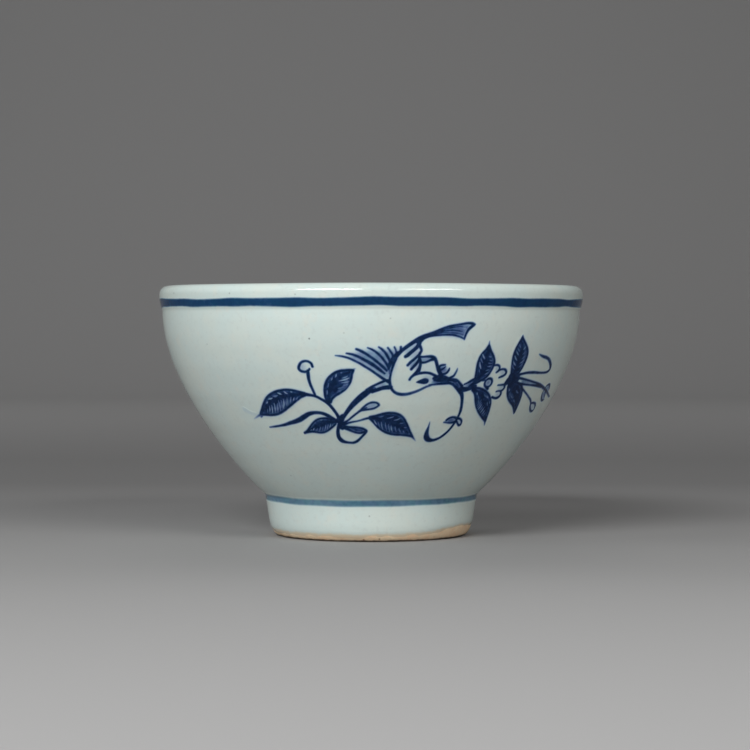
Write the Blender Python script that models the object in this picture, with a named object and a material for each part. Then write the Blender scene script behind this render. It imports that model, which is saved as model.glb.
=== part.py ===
"""A footed porcelain teacup: a wheel-thrown clay body, the glaze coats that cover it, and its painted lines.

Metres, +Z up. The origin is on the axis of the cup, in the plane of the foot rim that it stands on.
Every solid is turned round that axis from a profile of (radius, height) points, which the functions
below give in millimetres and turned() turns into metres.
"""

import math

import bmesh
import bpy

MM = 0.001

# Driving dimensions, in millimetres.
HEIGHT = 50.15
LIP_RADIUS = 42.57
LIP_ROUND = 1.7
BEAD_BOTTOM = (41.95, 45.2)
BOWL_BOTTOM = (21.65, 8.5)
FOOT_TOP = (21.3, 7.7)
FOOT_WAIST = (20.62, 3.2)
FOOT_CONTACT = (17.6, 19.3)
RECESS_RADIUS = 17.0
RECESS_CEILING = 5.6
RECESS_FLAT_RADIUS = 15.6
RECESS_CORNER_BOTTOM = (RECESS_RADIUS, 4.2)
NECK_BOTTOM = (38.9, 46.5)
WELL_FLOOR = 10.4

# The two points that pull each curved stretch of the profile, between its ends.
FOOT_PULLS = ((19.85, 0.4), (20.3, 1.6))
CORNER_PULLS = ((21.3, 8.1), (21.4, 8.25))
WALL_PULLS = ((28.1, 14.2), (42.1, 31.4))
BEAD_PULLS = ((42.3, 46.3), (42.57, 47.3))
NECK_PULLS = ((39.17, 47.8), (38.95, 47.0))
WELL_PULLS = ((38.3, 27.2), (23.6, WELL_FLOOR))
RECESS_CORNER_PULLS = ((16.6, RECESS_CEILING), (16.9, 5.2))

GLAZE = 0.5
GLAZE_GAP = 0.05
OUTER_GLAZE_EDGE = 1.0
RECESS_GLAZE_EDGE = 1.3
# The two coats meet on top of the lip, in a cut that stands square to this way along the surface.
LIP_MEETING_ANGLE = 90.0
LIP_MEETING_GAP = 2.0
LIP_MEETING_WAY = (-1, 0)

# Each painted line is a band of the outer glaze that the cobalt has stained: (lowest, highest).
RIM_LINE = (45.75, 47.45)
FOOT_LINE = (6.95, 8.3)
LINE_DEPTH = 0.25

SEGMENTS = 48
BOWL_STEPS = 8
WELL_STEPS = 8
FOOT_STEPS = 3
SHORT_STEPS = 2
LIP_STEPS = 4

SAME_POINT = 1e-6
WELD_METRES = 1e-7
SHARP_DEGREES = 40

# Name, colour, roughness.
CLAY = ("bare_clay", (0.66, 0.47, 0.30), 0.85)
GLAZED = ("pale_glaze", (0.72, 0.78, 0.74), 0.15)
DARK_COBALT = ("dark_cobalt", (0.02, 0.06, 0.16), 0.15)
THIN_COBALT = ("thin_cobalt", (0.12, 0.22, 0.32), 0.15)


def curve(start, pulls, end, steps):
    """Points of a cubic Bezier curve, both ends included."""
    points = []
    for i in range(steps + 1):
        t = i / steps
        s = 1 - t
        weights = (s**3, 3 * s * s * t, 3 * s * t * t, t**3)
        corners = (start, *pulls, end)
        points.append(tuple(sum(w * c[k] for w, c in zip(weights, corners)) for k in (0, 1)))
    return points


def lip_arc(first_degrees, last_degrees, steps):
    """Points on the round of the lip. 0 degrees faces away from the axis, and 90 is the top."""
    centre = (LIP_RADIUS - LIP_ROUND, HEIGHT - LIP_ROUND)
    points = []
    for i in range(steps + 1):
        angle = math.radians(first_degrees + (last_degrees - first_degrees) * i / steps)
        points.append((centre[0] + LIP_ROUND * math.cos(angle), centre[1] + LIP_ROUND * math.sin(angle)))
    return points


def joined(*stretches):
    """One line from several, where each starts at or after the end of the one before."""
    line = []
    for stretch in stretches:
        for point in stretch:
            if not line or math.dist(point, line[-1]) > SAME_POINT:
                line.append(point)
    return line


def inset(line, distance, starts=None, ends=None):
    """The line moved to its left by a distance, along the normals at its points. On the axis it stays there.

    starts and ends are the ways that the line runs at its ends, where its last chord isn't close enough.
    """
    moved = []
    last = len(line) - 1
    for i, (x, y) in enumerate(line):
        before = line[max(i - 1, 0)]
        after = line[min(i + 1, last)]
        across = after[0] - before[0]
        up = 0 if x == 0 else after[1] - before[1]
        if i == 0 and starts:
            across, up = starts
        if i == last and ends:
            across, up = ends
        length = math.hypot(across, up)
        moved.append((x - distance * up / length, y + distance * across / length))
    return moved


def at_height(line, height):
    """The point where a line that only rises reaches a height."""
    for (x0, y0), (x1, y1) in zip(line, line[1:]):
        if y0 <= height <= y1:
            share = (height - y0) / (y1 - y0)
            return (x0 + share * (x1 - x0), height)
    raise ValueError(f"the line doesn't reach {height} mm")


def between(line, low, high):
    """The stretch of a rising line between two heights."""
    inner = [point for point in line if low < point[1] < high]
    return [at_height(line, low), *inner, at_height(line, high)]


def outside_of_foot():
    """The turned side of the foot, from the plane that it stands on up to its top."""
    chamfer = curve((FOOT_CONTACT[1], 0), FOOT_PULLS, FOOT_WAIST, FOOT_STEPS)
    return joined(chamfer, [FOOT_TOP])


def outside_of_bowl():
    """The wall from the corner over the foot, past the thickened bead, to the widest point of the lip."""
    corner = curve(FOOT_TOP, CORNER_PULLS, BOWL_BOTTOM, SHORT_STEPS)
    wall = curve(BOWL_BOTTOM, WALL_PULLS, BEAD_BOTTOM, BOWL_STEPS)
    bead = curve(BEAD_BOTTOM, BEAD_PULLS, (LIP_RADIUS, HEIGHT - LIP_ROUND), SHORT_STEPS)
    return joined(corner, wall, bead)


def inside_of_bowl(first_lip_degrees):
    """The inner surface, from the round of the lip down to the middle of the well."""
    lip = lip_arc(first_lip_degrees, 180, LIP_STEPS)
    neck = curve(lip[-1], NECK_PULLS, NECK_BOTTOM, SHORT_STEPS)
    well = curve(NECK_BOTTOM, WELL_PULLS, (0, WELL_FLOOR), WELL_STEPS)
    return joined(lip, neck, well)


def outer_surface():
    """The outside of the outer glaze, from its lower edge to where it meets the inner glaze on the lip."""
    side = joined(outside_of_foot(), outside_of_bowl())
    side = between(side, OUTER_GLAZE_EDGE, HEIGHT - LIP_ROUND)
    return joined(side, lip_arc(0, LIP_MEETING_ANGLE, LIP_STEPS))


def recess_surface():
    """The hollow under the foot as glazed, from the middle of its ceiling down to the glaze's edge."""
    ceiling = [(0, RECESS_CEILING), (RECESS_FLAT_RADIUS / 2, RECESS_CEILING)]
    corner_start = (RECESS_FLAT_RADIUS, RECESS_CEILING)
    corner = curve(corner_start, RECESS_CORNER_PULLS, RECESS_CORNER_BOTTOM, SHORT_STEPS)
    return joined(ceiling, corner, [(RECESS_RADIUS, RECESS_GLAZE_EDGE)])


def clay_profile():
    """The bare clay: the glazed surfaces set in by the coat, and the foot rim that no glaze covers."""
    under_coat = GLAZE + GLAZE_GAP
    outer = inset(outer_surface(), under_coat, ends=LIP_MEETING_WAY)
    inner = inset(inside_of_bowl(LIP_MEETING_ANGLE), under_coat, starts=LIP_MEETING_WAY)[1:]
    recess = inset(recess_surface(), under_coat)
    chamfer = between(outside_of_foot(), 0, OUTER_GLAZE_EDGE - 2 * GLAZE_GAP)
    rim = [(FOOT_CONTACT[0], 0), *chamfer]
    return joined(recess, [(RECESS_RADIUS, RECESS_GLAZE_EDGE - 2 * GLAZE_GAP)], rim, outer, inner)


def recess_glaze_profile():
    surface = recess_surface()
    return joined(surface, reversed(inset(surface, GLAZE)))


def inner_glaze_profile():
    surface = inside_of_bowl(LIP_MEETING_ANGLE + LIP_MEETING_GAP)
    return joined(surface, reversed(inset(surface, GLAZE, starts=LIP_MEETING_WAY)))


def with_grooves(surface, lines):
    """The glazed surface with a shallow groove for each painted line."""
    points = []
    last = surface[0][1]
    for low, high in lines:
        points += between(surface, last, low - GLAZE_GAP)
        points += inset(between(surface, low - GLAZE_GAP, high + GLAZE_GAP), LINE_DEPTH + GLAZE_GAP)
        last = high + GLAZE_GAP
    points.append(at_height(surface, last))
    points += [point for point in surface if point[1] > last]
    return joined(points)


def outer_glaze_profile():
    surface = outer_surface()
    under = inset(surface, GLAZE, ends=LIP_MEETING_WAY)
    return joined(with_grooves(surface, (FOOT_LINE, RIM_LINE)), reversed(under))


def line_profile(limits):
    """A painted line, flush with the outer glaze and filling its groove."""
    surface = between(outer_surface(), *limits)
    return joined(surface, reversed(inset(surface, LINE_DEPTH)))


def material(name, colour, roughness):
    made = bpy.data.materials.get(name) or bpy.data.materials.new(name)
    made.use_nodes = True
    shader = made.node_tree.nodes["Principled BSDF"]
    shader.inputs["Base Color"].default_value = (*colour, 1)
    shader.inputs["Roughness"].default_value = roughness
    shader.inputs["Metallic"].default_value = 0
    return made


def turned(name, profile, finish):
    """The solid that a profile sweeps round the axis of the cup."""
    mesh = bpy.data.meshes.new(name)
    work = bmesh.new()
    corners = [work.verts.new((radius * MM, 0, height * MM)) for radius, height in profile]
    open_ended = profile[0][0] == 0
    edges = [work.edges.new(pair) for pair in zip(corners, corners[1:])]
    if not open_ended:
        edges.append(work.edges.new((corners[-1], corners[0])))
    bmesh.ops.spin(
        work,
        geom=[*corners, *edges],
        cent=(0, 0, 0),
        axis=(0, 0, 1),
        angle=math.tau,
        steps=SEGMENTS,
        use_merge=True,
    )
    bmesh.ops.remove_doubles(work, verts=work.verts, dist=WELD_METRES)
    bmesh.ops.recalc_face_normals(work, faces=work.faces)
    work.to_mesh(mesh)
    work.free()
    mesh.materials.append(material(*finish))
    mesh.shade_smooth()
    mesh.set_sharp_from_angle(angle=math.radians(SHARP_DEGREES))
    solid = bpy.data.objects.new(name, mesh)
    bpy.context.scene.collection.objects.link(solid)
    return solid


def clear_scene():
    for old in list(bpy.data.objects):
        bpy.data.objects.remove(old)


def main():
    clear_scene()
    turned("clay_body", clay_profile(), CLAY)
    turned("outer_glaze", outer_glaze_profile(), GLAZED)
    turned("inner_glaze", inner_glaze_profile(), GLAZED)
    turned("recess_glaze", recess_glaze_profile(), GLAZED)
    turned("rim_line", line_profile(RIM_LINE), DARK_COBALT)
    turned("foot_line", line_profile(FOOT_LINE), THIN_COBALT)


main()
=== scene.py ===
"""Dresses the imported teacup: its glaze, its bare clay foot and its painting in cobalt, with a camera and soft light.

Lengths in the functions below are millimetres unless a name says otherwise. A point of the wall is
(u, v): u is the way round it to the right of the front, measured where the radius is UNROLLED, and v
is the height. Angles round the axis start at the front, which faces -Y.
"""

import math

import bmesh
import bpy
import numpy as np
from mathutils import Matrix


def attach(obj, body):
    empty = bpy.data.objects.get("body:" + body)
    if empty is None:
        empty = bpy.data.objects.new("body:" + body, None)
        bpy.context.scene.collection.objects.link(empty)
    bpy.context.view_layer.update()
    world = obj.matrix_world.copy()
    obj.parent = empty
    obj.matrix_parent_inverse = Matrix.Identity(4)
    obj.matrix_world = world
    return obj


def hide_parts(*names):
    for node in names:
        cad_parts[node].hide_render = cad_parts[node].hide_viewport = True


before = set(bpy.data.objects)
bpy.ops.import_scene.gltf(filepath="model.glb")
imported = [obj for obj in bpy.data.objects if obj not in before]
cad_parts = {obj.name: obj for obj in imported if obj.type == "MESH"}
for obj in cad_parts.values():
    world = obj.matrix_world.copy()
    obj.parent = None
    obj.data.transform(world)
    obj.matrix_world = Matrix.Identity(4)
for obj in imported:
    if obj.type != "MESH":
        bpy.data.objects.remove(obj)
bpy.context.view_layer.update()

MM = 0.001

# The profile of the cup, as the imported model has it.
HEIGHT = 50.15
LIP_RADIUS = 42.57
LIP_ROUND = 1.7
BEAD_BOTTOM = (41.95, 45.2)
BOWL_BOTTOM = (21.65, 8.5)
FOOT_TOP = (21.3, 7.7)
FOOT_WAIST = (20.62, 3.2)
FOOT_CONTACT = (17.6, 19.3)
RECESS_RADIUS = 17.0
RECESS_CEILING = 5.6
WELL_FLOOR = 10.4
GLAZE = 0.5
GLAZE_GAP = 0.05
RECESS_EDGE = 1.3
# The clay is built this far under the surface of the glaze.
CLAY_UNDER = 0.62

SEGMENTS = 256
TURN = np.arange(SEGMENTS) * math.tau / SEGMENTS
UNROLLED = 38.0
# A film of paint lies between these heights over the face of the glaze.
FILM_TOP = 0.02
FILM_BOTTOM = -0.04
SHARP_EDGE = math.radians(40)

rng = np.random.default_rng(11)


# ---------------------------------------------------------------- the profile


def curve(start, pull_start, pull_end, end, steps):
    """Points of a cubic Bezier curve, both ends included."""
    t = np.linspace(0, 1, steps + 1)[:, None]
    corners = [np.array(p, float) for p in (start, pull_start, pull_end, end)]
    weights = ((1 - t) ** 3, 3 * (1 - t) ** 2 * t, 3 * (1 - t) * t**2, t**3)
    return sum(w * c for w, c in zip(weights, corners))


def lip_arc(first_degrees, last_degrees, steps):
    """A stretch of the round of the lip: 0 degrees is its widest point and 90 its top."""
    angles = np.radians(np.linspace(first_degrees, last_degrees, steps + 1))[:, None]
    centre = np.array([LIP_RADIUS - LIP_ROUND, HEIGHT - LIP_ROUND])
    return centre + LIP_ROUND * np.hstack([np.cos(angles), np.sin(angles)])


def joined(*stretches):
    """One line from several, without the point that two neighbours share."""
    points = np.vstack([np.array(s, float).reshape(-1, 2) for s in stretches])
    keep = np.r_[True, np.linalg.norm(np.diff(points, axis=0), axis=1) > 1e-6]
    return points[keep]


def outside(steps):
    """The outer side from the plane that the cup stands on to the widest point of the lip."""
    foot = curve((FOOT_CONTACT[1], 0), (19.85, 0.4), (20.3, 1.6), FOOT_WAIST, steps // 6)
    waist = np.linspace(FOOT_WAIST, FOOT_TOP, steps // 8)
    corner = curve(FOOT_TOP, (21.3, 8.1), (21.4, 8.25), BOWL_BOTTOM, 8)
    wall = curve(BOWL_BOTTOM, (28.1, 14.2), (42.1, 31.4), BEAD_BOTTOM, steps)
    bead = curve(BEAD_BOTTOM, (42.3, 46.3), (42.57, 47.3), (LIP_RADIUS, HEIGHT - LIP_ROUND), steps // 6)
    return joined(foot, waist, corner, wall, bead)


def inside(steps):
    """The inner surface from the top of the lip down to the middle of the well."""
    lip = lip_arc(90, 180, steps // 6)
    neck = curve(lip[-1], (39.17, 47.8), (38.95, 47.0), (38.9, 46.5), steps // 8)
    well = curve((38.9, 46.5), (38.3, 27.2), (23.6, WELL_FLOOR), (0, WELL_FLOOR), steps)
    return joined(lip, neck, well)


def recess(steps):
    """The hollow under the foot, from the middle of its ceiling down to its lower edge."""
    ceiling = np.linspace((0, RECESS_CEILING), (15.6, RECESS_CEILING), steps)
    corner = curve((15.6, RECESS_CEILING), (16.6, RECESS_CEILING), (16.9, 5.2), (RECESS_RADIUS, 4.2), steps // 2)
    side = np.linspace((RECESS_RADIUS, 4.2), (RECESS_RADIUS, RECESS_EDGE), steps // 2)
    return joined(ceiling, corner, side)


def inset(line, distance):
    """The line moved to its left by a distance. A point on the axis stays on it."""
    way = np.gradient(line, axis=0)
    way[line[:, 0] == 0, 1] = 0
    way /= np.linalg.norm(way, axis=1)[:, None]
    return line + distance * np.stack([-way[:, 1], way[:, 0]], axis=1)


WALL = outside(400)
# The painting is laid out on a wall this slim, and each point keeps its place as seen from the front.
LAID_OUT_ON = curve(BOWL_BOTTOM, (27.2, 15.1), (40.6, 31.9), BEAD_BOTTOM, 400)


def above(line, height):
    """The stretch of a rising line above a height, starting at it."""
    start = (np.interp(height, line[:, 1], line[:, 0]), height)
    return joined([start], line[line[:, 1] > height])


def turned_to(u, v):
    """The angle round the wall of a point (u, v) of the painting."""
    slim = np.interp(v, LAID_OUT_ON[:, 1], LAID_OUT_ON[:, 0]) / np.interp(v, WALL[:, 1], WALL[:, 0])
    return np.arcsin(np.clip(np.sin(u / UNROLLED) * np.minimum(slim, 1), -1, 1))


def wall_point(v, lift):
    """(radius, height) of points at the heights v, each lifted off the wall along its normal."""
    slope = np.gradient(WALL[:, 0], WALL[:, 1])
    slope = np.interp(v, WALL[:, 1], slope)
    length = np.hypot(1, slope)
    return np.interp(v, WALL[:, 1], WALL[:, 0]) + lift / length, v - lift * slope / length


# ---------------------------------------------------------------- the hand of the potter


def waves(angle, *terms):
    """A sum of waves round the cup, from (size, how many, where)."""
    return sum(size * np.sin(count * angle + start) for size, count, start in terms)


def thrown(angle, radius, height):
    """The turned point moved a little, as a bowl thrown by hand is: ovality, a lip that dips, faint rings."""
    share = height / HEIGHT
    oval = 0.03 * np.cos(3 * angle + 1.1) - 0.15 * np.cos(2 * angle + 0.1)
    rings = 0.009 * np.sin(height * math.tau / 5.3 + angle) + 0.004 * np.sin(height * math.tau / 2.9 - 2 * angle)
    on_bowl = np.clip((height - 9) / 6, 0, 1) * np.clip((46 - height) / 3, 0, 1)
    moved = radius + np.minimum(radius / 20, 1) * (share * oval + on_bowl * rings)
    dip = 0.05 * np.cos(angle + 0.8) + 0.035 * np.cos(2 * angle - 0.5) + 0.02 * np.cos(5 * angle)
    return moved, height + share * dip


def placed(angle, radius, height):
    """Points in metres, as rows of (x, y, z)."""
    radius, height = thrown(angle, radius, height)
    return MM * np.stack([radius * np.sin(angle), -radius * np.cos(angle), height], axis=-1).reshape(-1, 3)


def add_mesh(name, points, faces, material):
    """A smooth shaded object from points in metres, in the scene."""
    mesh = bpy.data.meshes.new(name)
    mesh.from_pydata(points.tolist(), [], faces)
    mesh.validate()
    mesh.materials.append(material)
    mesh.shade_smooth()
    mesh.set_sharp_from_angle(angle=SHARP_EDGE)
    made = bpy.data.objects.new(name, mesh)
    bpy.context.scene.collection.objects.link(made)
    return made


def set_numbers(made, name, values):
    """Keeps a number on each point of a mesh, for its material to read."""
    attribute = made.data.attributes.new(name, "FLOAT", "POINT")
    attribute.data.foreach_set("value", np.asarray(values, np.float32).ravel())


def turned(name, material, radii, heights):
    """A closed solid turned round the axis. radii and heights are grids: a row for each point of the
    profile, a column for each angle. A profile that starts and ends on the axis needs no closing face."""
    rows = len(radii)
    points = placed(np.broadcast_to(TURN, radii.shape), radii, heights)
    start, stop = radii[0, 0] == 0, radii[-1, 0] == 0
    faces = []
    for i in range(rows - 1 if start or stop else rows):
        a, b = i * SEGMENTS, (i + 1) % rows * SEGMENTS
        for j in range(SEGMENTS):
            k = (j + 1) % SEGMENTS
            if start and i == 0:
                faces.append((a, b + j, b + k))
            elif stop and i == rows - 2:
                faces.append((a + j, b, a + k))
            else:
                faces.append((a + j, b + j, b + k, a + k))
    made = add_mesh(name, points, faces, material)
    drop_loose(made)
    return made


def drop_loose(made):
    """Takes away the copies of an axis point that no face uses, and turns all faces outwards."""
    work = bmesh.new()
    work.from_mesh(made.data)
    bmesh.ops.delete(work, geom=[v for v in work.verts if not v.link_faces], context="VERTS")
    bmesh.ops.recalc_face_normals(work, faces=work.faces)
    work.to_mesh(made.data)
    work.free()


def grid_of(profile):
    """The same profile at every angle, as [radii, heights]."""
    return [np.repeat(profile[:, k : k + 1], SEGMENTS, axis=1) for k in (0, 1)]


GLAZE_STOPS_AT = 0.86
# Where a thumb wiped the glaze further up: (degrees round to the right, how far to each side, how far up).
WIPED = ((66, 31, 1.25), (205, 40, 0.7))


def glaze_edge(angle):
    """The height where the glaze stops above the foot rim."""
    wiped = 0
    for middle, reach, rise in WIPED:
        away = (angle - math.radians(middle) + math.pi) % math.tau - math.pi
        wiped = wiped + rise * np.exp(-((away / math.radians(reach)) ** 2))
    return GLAZE_STOPS_AT + wiped + waves(angle, (0.05, 9, 0), (0.04, 17, 1), (0.03, 31, 2))


# ---------------------------------------------------------------- the painting


# The grid that holds the painting: its spacing, its lowest corner (u, v) and its size.
PITCH = 0.1
LOW = (-31.0, 17.0)
COLUMNS, ROWS = 880, 285
# How wide the soft edge of a brush stroke is, and the least paint that counts as being there.
SOFT = 0.34
LEAST_INK = 0.02
SAMPLE_EVERY = 0.05
FINEST = 0.05
GRID_U = LOW[0] + PITCH * np.arange(COLUMNS)
GRID_V = LOW[1] + PITCH * np.arange(ROWS)


class Painting:
    """How much cobalt lies on each point of the unrolled wall, from 0 to 1, and which piece it is in."""

    def __init__(self):
        self.cobalt = np.zeros((ROWS, COLUMNS))
        self.piece = np.full((ROWS, COLUMNS), -1)
        self.now = 0

    def window(self, low, high):
        """The part of the grid from one corner to another, as (slices, u, v), where u and v are grids."""
        first = [max(int((low[k] - LOW[k]) / PITCH), 0) for k in (0, 1)]
        last = [int((high[k] - LOW[k]) / PITCH) + 2 for k in (0, 1)]
        part = (slice(first[1], last[1]), slice(first[0], last[0]))
        u, v = np.meshgrid(GRID_U[part[1]], GRID_V[part[0]])
        return part, u, v

    def lay(self, part, amount):
        held = self.cobalt[part]
        more = amount > held
        self.piece[part][more & (amount > LEAST_INK)] = self.now
        self.cobalt[part] = np.maximum(held, amount)

    def dabs(self, points, soft):
        """For each dab (u, v, width, strength) of a stroke: the part of the grid, and the brush's share of it."""
        for u0, v0, width, strength in points:
            reach = width / 2 + soft
            part, u, v = self.window((u0 - reach, v0 - reach), (u0 + reach, v0 + reach))
            away = np.hypot(u - u0, v - v0)
            share = np.clip((width / 2 + soft / 2 - away) / soft, 0, 1)
            yield part, strength * share * share * (3 - 2 * share)

    def stroke(self, *points, ink=1.0, fade=1.0, soft=SOFT):
        """One pull of the brush through points (u, v, width). fade is the share of the ink left at its end."""
        line = smooth(points)
        inks = ink * np.linspace(1, fade, len(line))
        for part, amount in self.dabs(np.column_stack([line, inks]), soft):
            self.lay(part, amount)

    def lift(self, *points, to=0.3, soft=SOFT):
        """A place inside the paint that stays paler, down to an amount."""
        line = smooth(points)
        for part, share in self.dabs(np.column_stack([line, np.ones(len(line))]), soft):
            self.cobalt[part] = np.minimum(self.cobalt[part], 1 - share * (1 - to))

    def wash(self, outline, tone, soft=0.3):
        """A thin layer of ink inside a closed outline."""
        outline = np.asarray(outline, float)[:, :2]
        part, u, v = self.window(outline.min(0) - 1, outline.max(0) + 1)
        inside = np.zeros(u.shape, bool)
        for (u0, v0), (u1, v1) in zip(outline, np.roll(outline, -1, axis=0)):
            crosses = (v0 > v) != (v1 > v)
            with np.errstate(divide="ignore", invalid="ignore"):
                inside ^= crosses & (u < u0 + (v - v0) * (u1 - u0) / (v1 - v0))
        self.lay(part, tone * blurred(inside.astype(float), soft / PITCH))

    def leaf(self, first, second, rib, tone=0.87, width=0.42, rib_width=0.55):
        """A leaf of dark ink between two outlines that run from its base to its tip, with its rib darker still."""
        sides = [smooth([(*p, width) for p in side]) for side in (first, second)]
        self.wash(np.vstack([sides[0], sides[1][::-1]]), tone)
        for side in sides:
            self.stroke(*side[:: max(len(side) // 12, 1)], side[-1])
        spine = smooth([(*p, rib_width) for p in rib])
        thinning = spine[:: max(len(spine) // 8, 1)].copy()
        thinning[:, 2] *= np.linspace(1, 0.6, len(thinning))
        self.stroke(*thinning)

    def streaks(self, to, width, *ends):
        """The pale gaps that the brush left between the veins of a leaf, each from (u, v) to (u, v). Each bows a
        little, is widest in the middle, and differs from its neighbours."""
        for u0, v0, u1, v1 in ends:
            bow = rng.uniform(0.02, 0.08)
            middle = ((u0 + u1) / 2 + bow * (v1 - v0), (v0 + v1) / 2 - bow * (u1 - u0), 1.4 * width)
            ends_at = rng.uniform(0.5, 1.0, 2) * width
            left = to - 0.12 + rng.uniform(-0.06, 0.08)
            self.lift((u0, v0, ends_at[0]), middle, (u1, v1, ends_at[1]), to=left, soft=0.2)


def smooth(points):
    """A Catmull-Rom curve through points (u, v, width), sampled every SAMPLE_EVERY or so."""
    points = np.asarray(points, float)
    ends = np.vstack([2 * points[0] - points[1], points, 2 * points[-1] - points[-2]])
    samples = []
    for a, b, c, d in zip(ends, ends[1:], ends[2:], ends[3:]):
        count = max(int(math.dist(b[:2], c[:2]) / SAMPLE_EVERY), 2)
        t = np.linspace(0, 1, count, endpoint=False)[:, None]
        bend = (2 * a - 5 * b + 4 * c - d) * t**2 + (3 * b - a - 3 * c + d) * t**3
        samples.append(0.5 * (2 * b + (c - a) * t + bend))
    line = np.vstack([*samples, points[-1:]])
    line[:, 2] = np.maximum(line[:, 2], FINEST)
    return line


def blurred(values, sigma):
    """Values on a grid, blurred by a Gaussian of that many cells."""
    reach = max(int(3 * sigma), 1)
    weights = np.exp(-0.5 * (np.arange(-reach, reach + 1) / max(sigma, 1e-6)) ** 2)
    weights /= weights.sum()
    for axis in (0, 1):
        padded = np.pad(values, [(reach, reach) if k == axis else (0, 0) for k in (0, 1)])
        size = values.shape[axis]
        values = sum(w * padded.take(np.arange(i, i + size), axis=axis) for i, w in enumerate(weights))
    return values


def cloudy(scale):
    """Smooth random numbers from about -1 to 1 over the painting's grid, which change over that many millimetres."""
    rows = int(ROWS * PITCH / scale) + 3
    columns = int(COLUMNS * PITCH / scale) + 3
    coarse = rng.uniform(-1, 1, (rows, columns))
    at_row = np.arange(ROWS) * PITCH / scale
    at_column = np.arange(COLUMNS) * PITCH / scale
    i, j = at_row.astype(int), at_column.astype(int)
    s, t = (at_row - i)[:, None], (at_column - j)[None, :]
    s, t = s * s * (3 - 2 * s), t * t * (3 - 2 * t)
    near = coarse[np.ix_(i, j)] * (1 - s) + coarse[np.ix_(i + 1, j)] * s
    far = coarse[np.ix_(i, j + 1)] * (1 - s) + coarse[np.ix_(i + 1, j + 1)] * s
    return near * (1 - t) + far * t


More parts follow.
